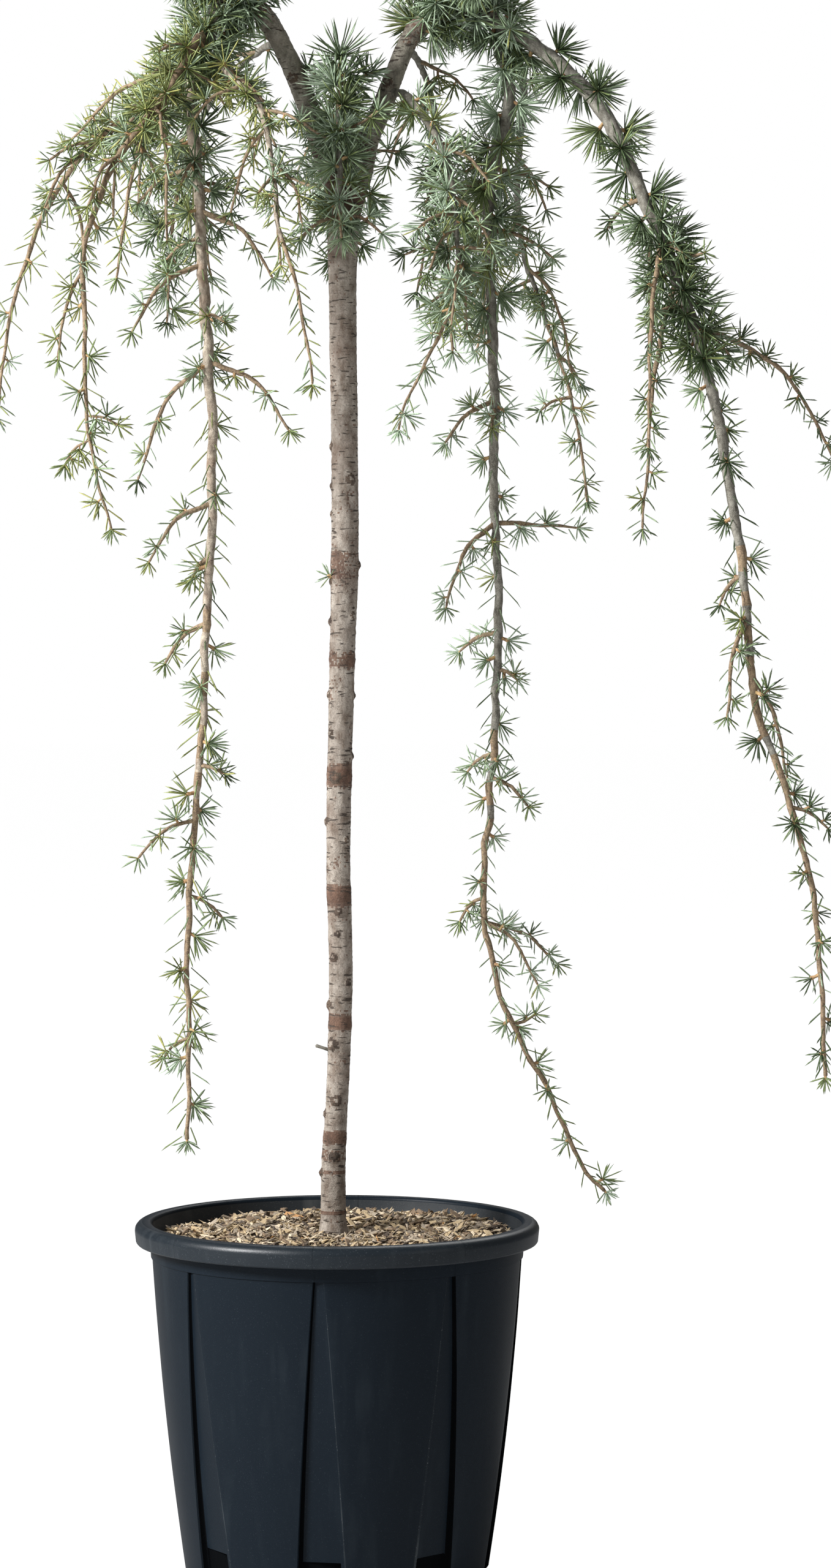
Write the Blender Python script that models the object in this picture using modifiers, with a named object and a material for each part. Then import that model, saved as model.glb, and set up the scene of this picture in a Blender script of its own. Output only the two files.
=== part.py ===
"""A weeping cedar grafted on a straight stem, standing in a ribbed nursery pot.

Metres, +Z up, with the origin at the middle of the pot's flat underside and the plant's
best side towards -Y. The pot, its filling, the trunk, the boughs and each hanging mass of
foliage are solids of their own, a third of a millimetre clear of each other.
"""

import math
import random

import bmesh
import bpy
from mathutils import Vector, kdtree

GAP = 0.0003  # clearance between neighbouring solids
WELD = 0.00001  # points nearer than this become one

# Pot: a tapered tub with a rolled rim, a plain collar and ribbed panels down to its feet
POT_HEIGHT = 0.325
POT_FOOT_RADIUS = 0.1405  # at the flat underside
POT_NECK_RADIUS = 0.1710  # under the rim
RIM_RADIUS = 0.1860
RIM_DEPTH = 0.0195
RIM_ROUND = 0.0080
MOUTH_RADIUS = 0.1700
COLLAR_DEPTH = 0.0130  # plain band between the rim and the ribbed panels
LEDGE = 0.0012  # how far the panels stand back from the collar
WALL = 0.0085
BASE_THICKNESS = 0.0060
SHOULDER = 0.2800  # height at which the inner wall turns out to the mouth
MOUTH_ROUND = 0.0035
FOOT_ROUND = 0.0040
POT_STEPS = 48

# Ribs: eight upright steps, each with a facet that widens towards the foot
RIB_COUNT = 8
RIB_FIRST = math.radians(-51)  # from the front, towards +X
RIB_SIDES = (1, 1, -1, -1)  # the side of each step that its facet lies on, repeated
RIB_LEAN = math.radians(8)  # how far a step drifts away from its facet on the way down
FACET_TOP = math.radians(3)
FACET_FOOT = math.radians(19)
STEP_TOP = 0.0016
STEP_FOOT = 0.0055
NOTCH_HEIGHT = 0.037
NOTCH_DEPTH = 0.0072
NOTCH_SPAN = (0.06, 0.90)  # its sides, as shares of the facet's width at the foot
OVERCUT = 0.0040  # how far the cutting blocks stand out of the pot

# Filling: potting mix under bark mulch
MULCH_TOP = 0.3150
MULCH_EDGE = 0.3100
MULCH_FLAT = 0.030  # radius of the level patch at the trunk's foot
FILL_SLACK = 0.0010

# Trunk: (height, sideways place, radius) from the flat cut at the mulch to the fork
TRUNK = (
    (MULCH_TOP + GAP, -0.0033, 0.0136),
    (0.325, -0.0034, 0.0116),
    (0.378, -0.0033, 0.0110),
    (0.434, -0.0002, 0.0101),
    (0.547, 0.0035, 0.0109),
    (0.659, 0.0012, 0.0110),
    (0.827, 0.0046, 0.0115),
    (0.940, 0.0074, 0.0127),
    (1.024, 0.0072, 0.0120),
    (1.192, 0.0053, 0.0127),
    (1.245, 0.0062, 0.0150),
    (1.280, 0.0080, 0.0205),
)
TRUNK_STEP = 0.048

# Boughs: route, root radius, tip radius, and the share of the route where it is at its
# crest, where the arch is split into two limbs
BOUGHS = {
    "bough_left": (
        ((-0.0035, 0, 1.2803), (-0.012, -0.002, 1.306), (-0.026, -0.008, 1.344),
         (-0.043, -0.015, 1.385), (-0.066, -0.022, 1.425), (-0.086, -0.027, 1.443),
         (-0.104, -0.034, 1.432), (-0.113, -0.042, 1.408), (-0.126, -0.052, 1.372)),
        0.0100, 0.0064, 0.62,
    ),
    "bough_right": (
        ((0.0205, 0.001, 1.2803), (0.028, 0.002, 1.312), (0.042, 0.006, 1.346),
         (0.052, 0.008, 1.373), (0.066, 0.012, 1.406), (0.082, 0.014, 1.426),
         (0.109, 0.015, 1.435), (0.143, 0.014, 1.426), (0.175, 0.010, 1.406)),
        0.0095, 0.0068, 0.58,
    ),
}
SQUARE_END = 0.0020  # straight run at each end of a limb, so that its cut is square
BOUGH_STEP = 0.015

# Masses of foliage. Each grows from one stem: the limb that carries it, where along that
# limb (1 is its end), the stem's route, its radii, its side shoots (place along the stem,
# then the offset of the shoot's tip), and how many twigs the seeded rule adds, between
# which places along the stem, and how long they are.
MASSES = {
    "leader_left": dict(
        limb="bough_left_crest", at=1.0, root=0.0056, tip=0.0013,
        route=((-0.131, -0.060, 1.348), (-0.125, -0.072, 1.297), (-0.118, -0.088, 1.187),
               (-0.110, -0.098, 1.033), (-0.114, -0.104, 0.896), (-0.120, -0.110, 0.750),
               (-0.130, -0.115, 0.612), (-0.130, -0.118, 0.502), (-0.130, -0.120, 0.416)),
        shoots=((0.11, (-0.053, 0.020, -0.027)), (0.15, (0.065, -0.020, -0.061)),
                (0.20, (-0.061, -0.030, -0.062)), (0.29, (-0.064, 0.030, -0.103)),
                (0.29, (0.073, -0.020, -0.061)), (0.42, (-0.053, -0.020, -0.052)),
                (0.47, (-0.016, 0.010, -0.019)), (0.53, (-0.037, 0.030, -0.034)),
                (0.66, (0.021, -0.010, -0.007)), (0.71, (-0.049, -0.020, -0.032)),
                (0.78, (0.027, 0.010, -0.018)), (0.91, (-0.023, 0.010, -0.017))),
        twigs=(7, 0.03, 0.50, 0.034),
    ),
    "spray_left_back": dict(
        limb="bough_left_crest", at=0.80, root=0.0042, tip=0.0010,
        route=((-0.160, 0.020, 1.363), (-0.188, 0.060, 1.349), (-0.236, 0.100, 1.316),
               (-0.272, 0.125, 1.269), (-0.301, 0.140, 1.203), (-0.319, 0.150, 1.127),
               (-0.323, 0.155, 1.070)),
        shoots=((0.12, (-0.101, 0.060, -0.055)), (0.23, (-0.016, 0.050, -0.090)),
                (0.33, (-0.012, 0.055, -0.085)), (0.45, (-0.032, -0.030, -0.052)),
                (0.52, (0.020, 0.030, -0.070))),
        twigs=(7, 0.05, 0.75, 0.050),
    ),
    "spray_left_front": dict(
        limb="bough_left_crest", at=0.8125, root=0.0040, tip=0.0010,
        route=((-0.146, -0.110, 1.347), (-0.180, -0.140, 1.297), (-0.202, -0.165, 1.253),
               (-0.217, -0.180, 1.194), (-0.217, -0.185, 1.129), (-0.213, -0.190, 1.043),
               (-0.205, -0.190, 0.995), (-0.193, -0.190, 0.956)),
        shoots=((0.16, (-0.058, 0.050, -0.174)), (0.21, (0.004, -0.040, -0.130)),
                (0.35, (-0.027, -0.030, -0.047)), (0.57, (-0.023, 0.010, -0.075)),
                (0.81, (0.026, -0.010, -0.007)), (0.85, (-0.022, 0.010, -0.021))),
        twigs=(8, 0.03, 0.60, 0.050),
    ),
    "spray_left_inner": dict(
        limb="bough_left_crest", at=0.94, root=0.0034, tip=0.0010,
        route=((-0.092, -0.100, 1.359), (-0.066, -0.130, 1.331), (-0.054, -0.150, 1.278),
               (-0.047, -0.165, 1.217), (-0.032, -0.175, 1.171), (-0.023, -0.180, 1.122),
               (-0.017, -0.185, 1.082)),
        shoots=((0.18, (0.029, -0.030, -0.026)), (0.38, (-0.032, 0.020, -0.071)),
                (0.46, (0.028, -0.020, -0.055)), (0.52, (0.003, 0.030, -0.068))),
        twigs=(6, 0.05, 0.80, 0.040),
    ),
    "tuft_crest_left": dict(
        limb="bough_left_crest", at=0.30, root=0.0030, tip=0.0014,
        route=((-0.098, -0.020, 1.470), (-0.118, -0.006, 1.474), (-0.140, 0.004, 1.460)),
        shoots=((0.20, (0.034, 0.010, 0.000)), (0.45, (-0.014, -0.050, -0.010)),
                (0.50, (0.016, 0.045, -0.004)), (0.75, (-0.012, -0.045, -0.022)),
                (0.80, (-0.004, 0.040, -0.014))),
        twigs=(4, 0.10, 0.95, 0.026),
    ),
    "leader_right": dict(
        limb="bough_right_crest", at=0.80, root=0.0057, tip=0.0013,
        route=((0.157, 0.035, 1.382), (0.154, 0.050, 1.332), (0.141, 0.065, 1.283),
               (0.142, 0.078, 1.207), (0.146, 0.088, 1.102), (0.145, 0.094, 0.999),
               (0.149, 0.100, 0.884), (0.145, 0.106, 0.744), (0.136, 0.112, 0.607),
               (0.151, 0.118, 0.526), (0.178, 0.122, 0.469), (0.203, 0.126, 0.418),
               (0.236, 0.130, 0.350), (0.250, 0.130, 0.335)),
        shoots=((0.13, (0.053, 0.030, -0.013)), (0.14, (-0.047, 0.010, -0.023)),
                (0.18, (0.056, -0.020, -0.026)), (0.21, (-0.038, 0.030, -0.033)),
                (0.32, (-0.045, -0.020, -0.038)), (0.42, (0.078, 0.020, -0.004)),
                (0.42, (-0.046, -0.030, -0.078)), (0.51, (-0.034, 0.020, -0.018)),
                (0.54, (0.018, -0.012, -0.009)), (0.61, (-0.024, 0.020, -0.017)),
                (0.63, (0.033, -0.020, -0.025)), (0.73, (-0.021, 0.010, -0.022)),
                (0.75, (0.069, 0.030, -0.042)), (0.75, (0.048, -0.030, -0.057)),
                (0.84, (0.019, 0.010, 0.007))),
        twigs=(9, 0.02, 0.50, 0.036),
    ),
    "spray_right_front": dict(
        limb="bough_right", at=0.56, root=0.0034, tip=0.0010,
        route=((0.077, -0.035, 1.333), (0.096, -0.070, 1.300), (0.108, -0.100, 1.233),
               (0.107, -0.115, 1.167), (0.082, -0.125, 1.106), (0.062, -0.130, 1.065),
               (0.056, -0.130, 1.046)),
        shoots=((0.30, (0.040, -0.030, -0.030)), (0.43, (0.031, -0.030, -0.042)),
                (0.51, (-0.026, -0.020, -0.040)), (0.55, (0.008, 0.020, -0.073)),
                (0.58, (-0.005, -0.040, -0.084))),
        twigs=(7, 0.22, 0.85, 0.045),
    ),
    "spray_right_back": dict(
        limb="bough_right_crest", at=0.92, root=0.0040, tip=0.0010,
        route=((0.181, 0.090, 1.367), (0.179, 0.135, 1.291), (0.182, 0.170, 1.218),
               (0.205, 0.190, 1.143), (0.226, 0.200, 1.073), (0.237, 0.205, 0.992)),
        shoots=((0.20, (-0.030, 0.060, -0.070)), (0.33, (0.026, 0.030, -0.040)),
                (0.45, (-0.040, 0.030, -0.120)), (0.54, (0.042, -0.020, -0.100))),
        twigs=(6, 0.08, 0.80, 0.045),
    ),
    "leader_far_right": dict(
        limb="bough_right_crest", at=1.0, root=0.0066, tip=0.0013,
        route=((0.201, 0.000, 1.385), (0.241, -0.020, 1.340), (0.270, -0.035, 1.281),
               (0.299, -0.050, 1.205), (0.325, -0.060, 1.134), (0.346, -0.070, 1.048),
               (0.365, -0.080, 0.923), (0.376, -0.085, 0.809), (0.398, -0.090, 0.740),
               (0.422, -0.092, 0.661), (0.435, -0.095, 0.565), (0.441, -0.095, 0.468)),
        shoots=((0.24, (-0.016, -0.085, -0.192)), (0.28, (-0.031, -0.010, -0.224)),
                (0.32, (0.153, 0.130, -0.143)), (0.20, (-0.033, 0.020, -0.025)),
                (0.26, (0.029, -0.030, 0.003)), (0.39, (0.008, 0.030, -0.047)),
                (0.55, (-0.019, 0.020, -0.026)), (0.59, (-0.019, -0.020, -0.085)),
                (0.64, (0.035, 0.030, -0.092)), (0.76, (0.033, 0.010, -0.018)),
                (0.22, (0.000, 0.080, -0.120))),
        twigs=(9, 0.04, 0.50, 0.036),
    ),
    "tuft_crest_right": dict(
        limb="bough_right_crest", at=0.42, root=0.0030, tip=0.0014,
        route=((0.112, 0.010, 1.466), (0.128, 0.000, 1.474), (0.148, -0.010, 1.464)),
        shoots=((0.32, (-0.044, 0.004, 0.002)), (0.40, (0.010, -0.050, -0.012)),
                (0.50, (0.000, 0.050, -0.010)), (0.80, (0.014, 0.040, -0.016)),
                (0.75, (-0.006, -0.045, -0.026))),
        twigs=(4, 0.10, 0.95, 0.026),
    ),
    "tuft_fork": dict(
        limb="trunk", at=0.954, root=0.0034, tip=0.0014,
        route=((0.004, -0.046, 1.290), (0.003, -0.040, 1.340), (0.004, -0.020, 1.388)),
        shoots=((0.18, (-0.034, -0.022, -0.020)), (0.20, (0.038, -0.018, -0.018)),
                (0.12, (0.006, -0.030, -0.058)), (0.55, (-0.030, -0.020, 0.012)),
                (0.60, (0.026, -0.022, 0.008)), (0.85, (-0.026, 0.022, 0.010))),
        twigs=(4, 0.10, 0.95, 0.030),
    ),
    "spray_back": dict(
        limb="trunk", at=0.930, root=0.0034, tip=0.0010,
        route=((0.006, 0.060, 1.318), (0.002, 0.110, 1.345), (-0.004, 0.165, 1.325),
               (-0.006, 0.200, 1.275), (-0.006, 0.215, 1.215)),
        shoots=((0.25, (-0.048, 0.030, 0.010)), (0.35, (0.050, 0.030, 0.000)),
                (0.55, (-0.040, 0.040, -0.040)), (0.70, (0.036, 0.020, -0.050))),
        twigs=(5, 0.15, 0.90, 0.040),
    ),
    "spray_back_left": dict(
        limb="bough_left", at=0.72, root=0.0036, tip=0.0010,
        route=((-0.064, 0.060, 1.408), (-0.104, 0.130, 1.388), (-0.144, 0.180, 1.326),
               (-0.162, 0.208, 1.246), (-0.168, 0.216, 1.165)),
        shoots=((0.25, (-0.060, 0.030, -0.020)), (0.40, (0.045, 0.030, -0.060)),
                (0.55, (-0.050, 0.020, -0.070)), (0.70, (0.030, 0.020, -0.080))),
        twigs=(6, 0.15, 0.85, 0.045),
    ),
    "spray_back_right": dict(
        limb="bough_right", at=0.78, root=0.0036, tip=0.0010,
        route=((0.066, 0.065, 1.405), (0.082, 0.130, 1.385), (0.096, 0.190, 1.325),
               (0.104, 0.225, 1.245), (0.106, 0.240, 1.160)),
        shoots=((0.25, (0.050, 0.040, -0.030)), (0.40, (-0.040, 0.030, -0.060)),
                (0.60, (0.040, 0.020, -0.080)), (0.70, (-0.028, 0.020, -0.080))),
        twigs=(6, 0.15, 0.85, 0.045),
    ),
}

# How foliage grows, and how it is simplified here: a ring of four broad needles stands
# for each cluster of thin ones
MARGIN = 0.0035  # each mass stops this far short of its neighbour's share of the room
LIMB_CLEAR = 0.0056  # from a limb's surface to anything that isn't its own stem
LIMB_TESTS = 60  # places along a limb that this is measured from
LINE_STEP = 0.012
FINE_STEPS = 16  # cuts in one span of a curve before it is cut evenly
ROOM_STEP = 0.005
TWIG_TEST_STEP = 0.008
LEAD = 0.016  # longest straight run of a stem before it turns to its route
DROOP = (0.58, 0.30)  # a shoot's halfway point: shares of its reach sideways and down
RING_STEP = 0.041  # from one ring of needles to the next
RING_ROOT = 0.011  # the least from a twig's root to its first ring
COLLAR = 0.0050  # length of stem that one ring of needles springs from
NEEDLE = 0.030
NEEDLE_TESTS = (0.3, 0.6, 1.0)  # places along a needle where it must have room
NEEDLE_LEAN = (0.25, 0.75)  # towards the twig's tip, against one part outwards
NEEDLE_SWAY = 0.35
END_NEEDLE = 0.5  # length of the needle at a twig's end, as a share of the others'
SHOOT_ROOT = 0.0026
SHOOT_SHARE = 0.7  # thickest root of a shoot, as a share of its stem's radius there
TWIG_ROOT = 0.0019
TWIG_TIP = 0.0011
GOLDEN_ANGLE = math.radians(137.5)


def collection(name):
    made = bpy.data.collections.new(name)
    bpy.context.scene.collection.children.link(made)
    return made


def material(name, colour, roughness):
    made = bpy.data.materials.new(name)
    made.use_nodes = True
    shader = made.node_tree.nodes["Principled BSDF"]
    shader.inputs["Base Color"].default_value = (*colour, 1)
    shader.inputs["Roughness"].default_value = roughness
    shader.inputs["Metallic"].default_value = 0
    return made


def place(name, mesh, home, finish=None):
    made = bpy.data.objects.new(name, mesh)
    home.objects.link(made)
    if finish:
        mesh.materials.clear()
        mesh.materials.append(finish)
    return made


def evaluated_mesh(source):
    """The object's shape with its modifiers or bevel worked out, as a mesh of its own."""
    bpy.context.view_layer.update()
    graph = bpy.context.evaluated_depsgraph_get()
    return bpy.data.meshes.new_from_object(source.evaluated_get(graph))


# Lines

def smooth_line(points, spacing):
    """A smooth curve through the points, cut into even steps of about the spacing."""
    points = [Vector(p) for p in points]
    ends = [2 * points[0] - points[1]] + points + [2 * points[-1] - points[-2]]
    fine = []
    for a, b, c, d in zip(ends, ends[1:], ends[2:], ends[3:]):
        knots = [0.0]
        for first, second in ((a, b), (b, c), (c, d)):
            knots.append(knots[-1] + math.sqrt((second - first).length))
        t0, t1, t2, t3 = knots
        for k in range(FINE_STEPS):
            t = t1 + (t2 - t1) * k / FINE_STEPS
            ab = a.lerp(b, (t - t0) / (t1 - t0))
            bc = b.lerp(c, (t - t1) / (t2 - t1))
            cd = c.lerp(d, (t - t2) / (t3 - t2))
            abc = ab.lerp(bc, (t - t0) / (t2 - t0))
            bcd = bc.lerp(cd, (t - t1) / (t3 - t1))
            fine.append(abc.lerp(bcd, (t - t1) / (t2 - t1)))
    fine.append(points[-1])
    return even_steps(fine, spacing)


def even_steps(line, spacing):
    along = [0.0]
    for a, b in zip(line, line[1:]):
        along.append(along[-1] + (b - a).length)
    count = max(2, round(along[-1] / spacing))
    made, k = [], 0
    for i in range(count + 1):
        want = along[-1] * i / count
        while k < len(line) - 2 and along[k + 1] < want:
            k += 1
        made.append(line[k].lerp(line[k + 1], (want - along[k]) / (along[k + 1] - along[k])))
    return made


def at_share(line, share):
    """The point and the heading at a share of an evenly stepped line."""
    where = share * (len(line) - 1)
    k = min(int(where), len(line) - 2)
    return line[k].lerp(line[k + 1], where - k), (line[k + 1] - line[k]).normalized()


def taper(root, tip, share):
    return root + (tip - root) * share


def drooping(start, offset, spacing):
    """A shoot that sets out sideways and then hangs to its tip."""
    sideways, down = DROOP
    middle = start + Vector((sideways * offset.x, sideways * offset.y, down * offset.z))
    return smooth_line((start, middle, start + offset), spacing)


# Growth: what stands where, before any solid is made

class Limb:
    """The trunk or a bough: its line and its radius along that line."""

    def __init__(self, line, radii):
        self.line = line
        self.radii = radii

    def radius(self, share):
        where = share * (len(self.radii) - 1)
        k = min(int(where), len(self.radii) - 2)
        return taper(self.radii[k], self.radii[k + 1], where - k)


def grow_limbs():
    heights = [point[0] for point in TRUNK]
    line = smooth_line([(x, 0, z) for z, x, _ in TRUNK], TRUNK_STEP)
    line[1].x, line[-2].x = line[0].x, line[-1].x
    radii = []
    for point in line:
        k = max(i for i in range(len(heights) - 1) if heights[i] <= point.z + 1e-6)
        share = (point.z - heights[k]) / (heights[k + 1] - heights[k])
        radii.append(taper(TRUNK[k][2], TRUNK[k + 1][2], share))
    limbs = {"trunk": Limb(line, radii)}
    for name, (route, root, tip, crest) in BOUGHS.items():
        line = smooth_line(route, BOUGH_STEP)
        line.insert(1, line[0] + Vector((0, 0, SQUARE_END)))
        radii = [taper(root, tip, i / (len(line) - 1)) for i in range(len(line))]
        split = round(crest * (len(line) - 1))
        along = (line[split + 1] - line[split - 1]).normalized()
        cut = line[split]
        before = line[:split] + [cut, cut + along * SQUARE_END]
        after = [cut + along * (SQUARE_END + GAP), cut + along * (2 * SQUARE_END + GAP)]
        at_cut = [radii[split]] * 2
        limbs[name] = Limb(before, radii[:split] + at_cut)
        limbs[name + "_crest"] = Limb(after + line[split + 1:], at_cut + radii[split + 1:])
    return limbs


def stem_line(limb, solid, plan):
    """The mass's own stem, from a hair's breadth off its limb's surface to its tip."""
    seat, along = at_share(limb.line, plan["at"])
    first = Vector(plan["route"][0])
    if plan["at"] == 1.0:
        out, start = along, seat + along * GAP
    else:
        toward = first - seat
        toward -= toward.dot(along) * along
        _, surface, out, _ = solid.ray_cast(seat, toward.normalized())
        start = surface + out * GAP
    lead = min(LEAD, 0.4 * (first - start).length)
    line = smooth_line((start, start + out * lead, *plan["route"]), LINE_STEP)
    line.insert(1, start + out * SQUARE_END)
    return line


def grow_masses(limbs, solids):
    """Each mass's stem and side shoots, as lines with a radius at either end."""
    masses = {}
    for name, plan in MASSES.items():
        stem = stem_line(limbs[plan["limb"]], solids[plan["limb"]], plan)
        twigs = [(stem, plan["root"], plan["tip"])]
        for share, offset in plan["shoots"]:
            start, _ = at_share(stem, share)
            root = min(SHOOT_SHARE * taper(plan["root"], plan["tip"], share), SHOOT_ROOT)
            twigs.append((drooping(start, Vector(offset), LINE_STEP), root, TWIG_TIP))
        masses[name] = twigs
    return masses


def samples(line):
    return even_steps(line, ROOM_STEP)


class Room:
    """Tells whether a point is in a mass's own share of the room, clear of every limb."""

    def __init__(self, name, masses, limbs):
        own = [p for line, _, _ in masses[name] for p in samples(line)]
        rest = [p for other, twigs in masses.items() if other != name
                for line, _, _ in twigs for p in samples(line)]
        self.own, self.rest = self.tree(own), self.tree(rest)
        shares = [i / LIMB_TESTS for i in range(LIMB_TESTS + 1)]
        self.wood = [(at_share(limb.line, share)[0], limb.radius(share))
                     for limb in limbs.values() for share in shares]
        self.wood_tree = self.tree([p for p, _ in self.wood])

    @staticmethod
    def tree(points):
        made = kdtree.KDTree(len(points))
        for i, point in enumerate(points):
            made.insert(point, i)
        made.balance()
        return made

    def holds(self, point):
        if self.rest.find(point)[2] < self.own.find(point)[2] + MARGIN:
            return False
        near = self.wood_tree.find_n(point, 3)
        return all(d > self.wood[i][1] + LIMB_CLEAR for _, i, d in near)


def add_twigs(name, masses, room):
    """Grows the mass's further twigs by a seeded rule, and skips those that have no room."""
    count, first, last, length = MASSES[name]["twigs"]
    draw = random.Random(name)
    stem = masses[name][0][0]
    turn = draw.uniform(0, math.tau)
    for i in range(count):
        share = first + (last - first) * (i + draw.uniform(0.1, 0.9)) / count
        turn += GOLDEN_ANGLE
        reach = length * draw.uniform(0.7, 1.2)
        start, _ = at_share(stem, share)
        out = Vector((math.cos(turn), math.sin(turn), draw.uniform(-0.75, -0.15)))
        line = drooping(start, out * reach, LINE_STEP)
        if all(room.holds(p) for p in even_steps(line, TWIG_TEST_STEP)[2:]):
            masses[name].append((line, TWIG_ROOT, TWIG_TIP))


# Solids

def tube(name, line, radii, bevel_resolution, home):
    """A tapering limb: a beveled curve with filled caps, made a mesh and welded."""
    curve = bpy.data.curves.new(name, "CURVE")
    curve.dimensions = "3D"
    curve.bevel_depth = 1
    curve.bevel_resolution = bevel_resolution
    curve.use_fill_caps = True
    spline = curve.splines.new("POLY")
    spline.points.add(len(line) - 1)
    for point, where, radius in zip(spline.points, line, radii):
        point.co = (*where, 1)
        point.radius = radius
    guide = bpy.data.objects.new(name, curve)
    home.objects.link(guide)
    mesh = evaluated_mesh(guide)
    bpy.data.objects.remove(guide)
    bpy.data.curves.remove(curve)
    return mesh


def weld(mesh):
    work = bmesh.new()
    work.from_mesh(mesh)
    bmesh.ops.remove_doubles(work, verts=work.verts, dist=WELD)
    work.to_mesh(mesh)
    work.free()
    return mesh


def ringed_line(line, root, tip, is_stem):
    """Stations along a twig, and which of them start a collar that carries needles."""
    total = sum((b - a).length for a, b in zip(line, line[1:]))
    starts = []
    where = total - COLLAR
    while where > RING_ROOT:
        starts.append(where)
        where -= RING_STEP
    starts.reverse()
    wheres = [] if starts else [total]
    stations = [(0.0, line[0])] + [(SQUARE_END, line[1])] * is_stem
    collars = []
    for start in starts:
        collars.append(len(wheres) + len(stations))
        wheres += [start, start + COLLAR]
    stations += [(w, at_share(line, w / total)[0]) for w in wheres]
    points = [point for _, point in stations]
    radii = [taper(root, tip, where / total) for where, _ in stations]
    return points, radii, collars


def needled_twig(name, line, root, tip, is_stem, room, draw, home):
    """A four-sided twig whose collars each carry a ring of needles, with one at its end."""
    points, radii, collars = ringed_line(line, root, tip, is_stem)
    mesh = tube(name, points, radii, 0, home)
    work = bmesh.new()
    work.from_mesh(mesh)
    end_cap = [face for face in work.faces][:2]
    sides = [face for face in work.faces if len(face.verts) == 4]
    for k in collars:
        heading = (points[k + 1] - points[k]).normalized()
        length = NEEDLE * draw.uniform(0.8, 1.15)
        for face in sides[4 * k:4 * k + 4]:
            middle = face.calc_center_median()
            out = (middle - (points[k] + points[k + 1]) / 2).normalized()
            lean = heading * draw.uniform(*NEEDLE_LEAN)
            side = out.cross(heading) * draw.uniform(-NEEDLE_SWAY, NEEDLE_SWAY)
            raise_needle(work, face, middle + (out + lean + side).normalized() * length, room)
    cap = bmesh.ops.dissolve_faces(work, faces=end_cap)["region"][0]
    heading = (points[-1] - points[-2]).normalized()
    raise_needle(work, cap, points[-1] + heading * NEEDLE * END_NEEDLE, room)
    bmesh.ops.remove_doubles(work, verts=work.verts, dist=WELD)
    work.to_mesh(mesh)
    work.free()
    return bpy.data.objects.new(name, mesh)


def raise_needle(work, face, apex, room):
    """Draws one face of a twig out to a needle, if the needle has room."""
    middle = face.calc_center_median()
    if all(room.holds(middle.lerp(apex, share)) for share in NEEDLE_TESTS):
        bmesh.ops.poke(work, faces=[face])["verts"][0].co = apex


def keep_largest_shell(mesh):
    """Drops loose scraps, and the shells that would seal a hollow."""
    work = bmesh.new()
    work.from_mesh(mesh)
    work.faces.ensure_lookup_table()
    left, shells = set(work.faces), []
    while left:
        seed = left.pop()
        shell, edge = {seed}, [seed]
        while edge:
            for side in edge.pop().edges:
                for face in side.link_faces:
                    if face in left:
                        left.discard(face)
                        shell.add(face)
                        edge.append(face)
        shells.append(shell)
    largest = max(shells, key=len)
    scraps = [face for shell in shells if shell is not largest for face in shell]
    bmesh.ops.delete(work, geom=scraps, context="FACES")
    work.to_mesh(mesh)
    work.free()


def joined(name, pieces, home, finish):
    """One solid: the stem, with everything that grows from it joined on."""
    growth = collection(name + "_growth")
    stem = place(name, pieces[0].data, home, finish)
    for piece in pieces[1:]:
        growth.objects.link(piece)
    join = stem.modifiers.new("join", "BOOLEAN")
    join.operation = "UNION"
    join.operand_type = "COLLECTION"
    join.collection = growth
    join.solver = "EXACT"
    mesh = evaluated_mesh(stem)
    stem.modifiers.clear()
    stem.data = mesh
    mesh.materials.clear()
    mesh.materials.append(finish)
    for piece in pieces:
        bpy.data.objects.remove(piece)
    bpy.data.collections.remove(growth)
    keep_largest_shell(mesh)
    return stem


def polar(angle, radius, height):
    """A point by its angle from the front, -Y, towards +X."""
    return Vector((radius * math.sin(angle), -radius * math.cos(angle), height))


def turned(name, profile, steps, home):
    """A turned solid: the profile runs from the axis, over its outer side, to the axis."""
    work = bmesh.new()
    verts = [work.verts.new((radius, 0, height)) for radius, height in profile]
    for a, b in zip(verts, verts[1:]):
        work.edges.new((a, b))
    mesh = bpy.data.meshes.new(name)
    work.to_mesh(mesh)
    work.free()
    made = place(name, mesh, home)
    screw = made.modifiers.new("turn", "SCREW")
    screw.steps = screw.render_steps = steps
    screw.use_merge_vertices = True
    screw.merge_threshold = WELD
    return made


def body_radius(height):
    """The pot's outer radius under its rim."""
    return taper(POT_FOOT_RADIUS, POT_NECK_RADIUS, height / (POT_HEIGHT - RIM_DEPTH))


def hull_cutter(name, corners, home):
    """A convex block through the corners."""
    work = bmesh.new()
    for corner in corners:
        work.verts.new(corner)
    bmesh.ops.convex_hull(work, input=work.verts)
    bmesh.ops.recalc_face_normals(work, faces=work.faces)
    mesh = bpy.data.meshes.new(name)
    work.to_mesh(mesh)
    work.free()
    made = place(name, mesh, home)
    made.hide_render = True
    made.display_type = "WIRE"
    return made


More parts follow.
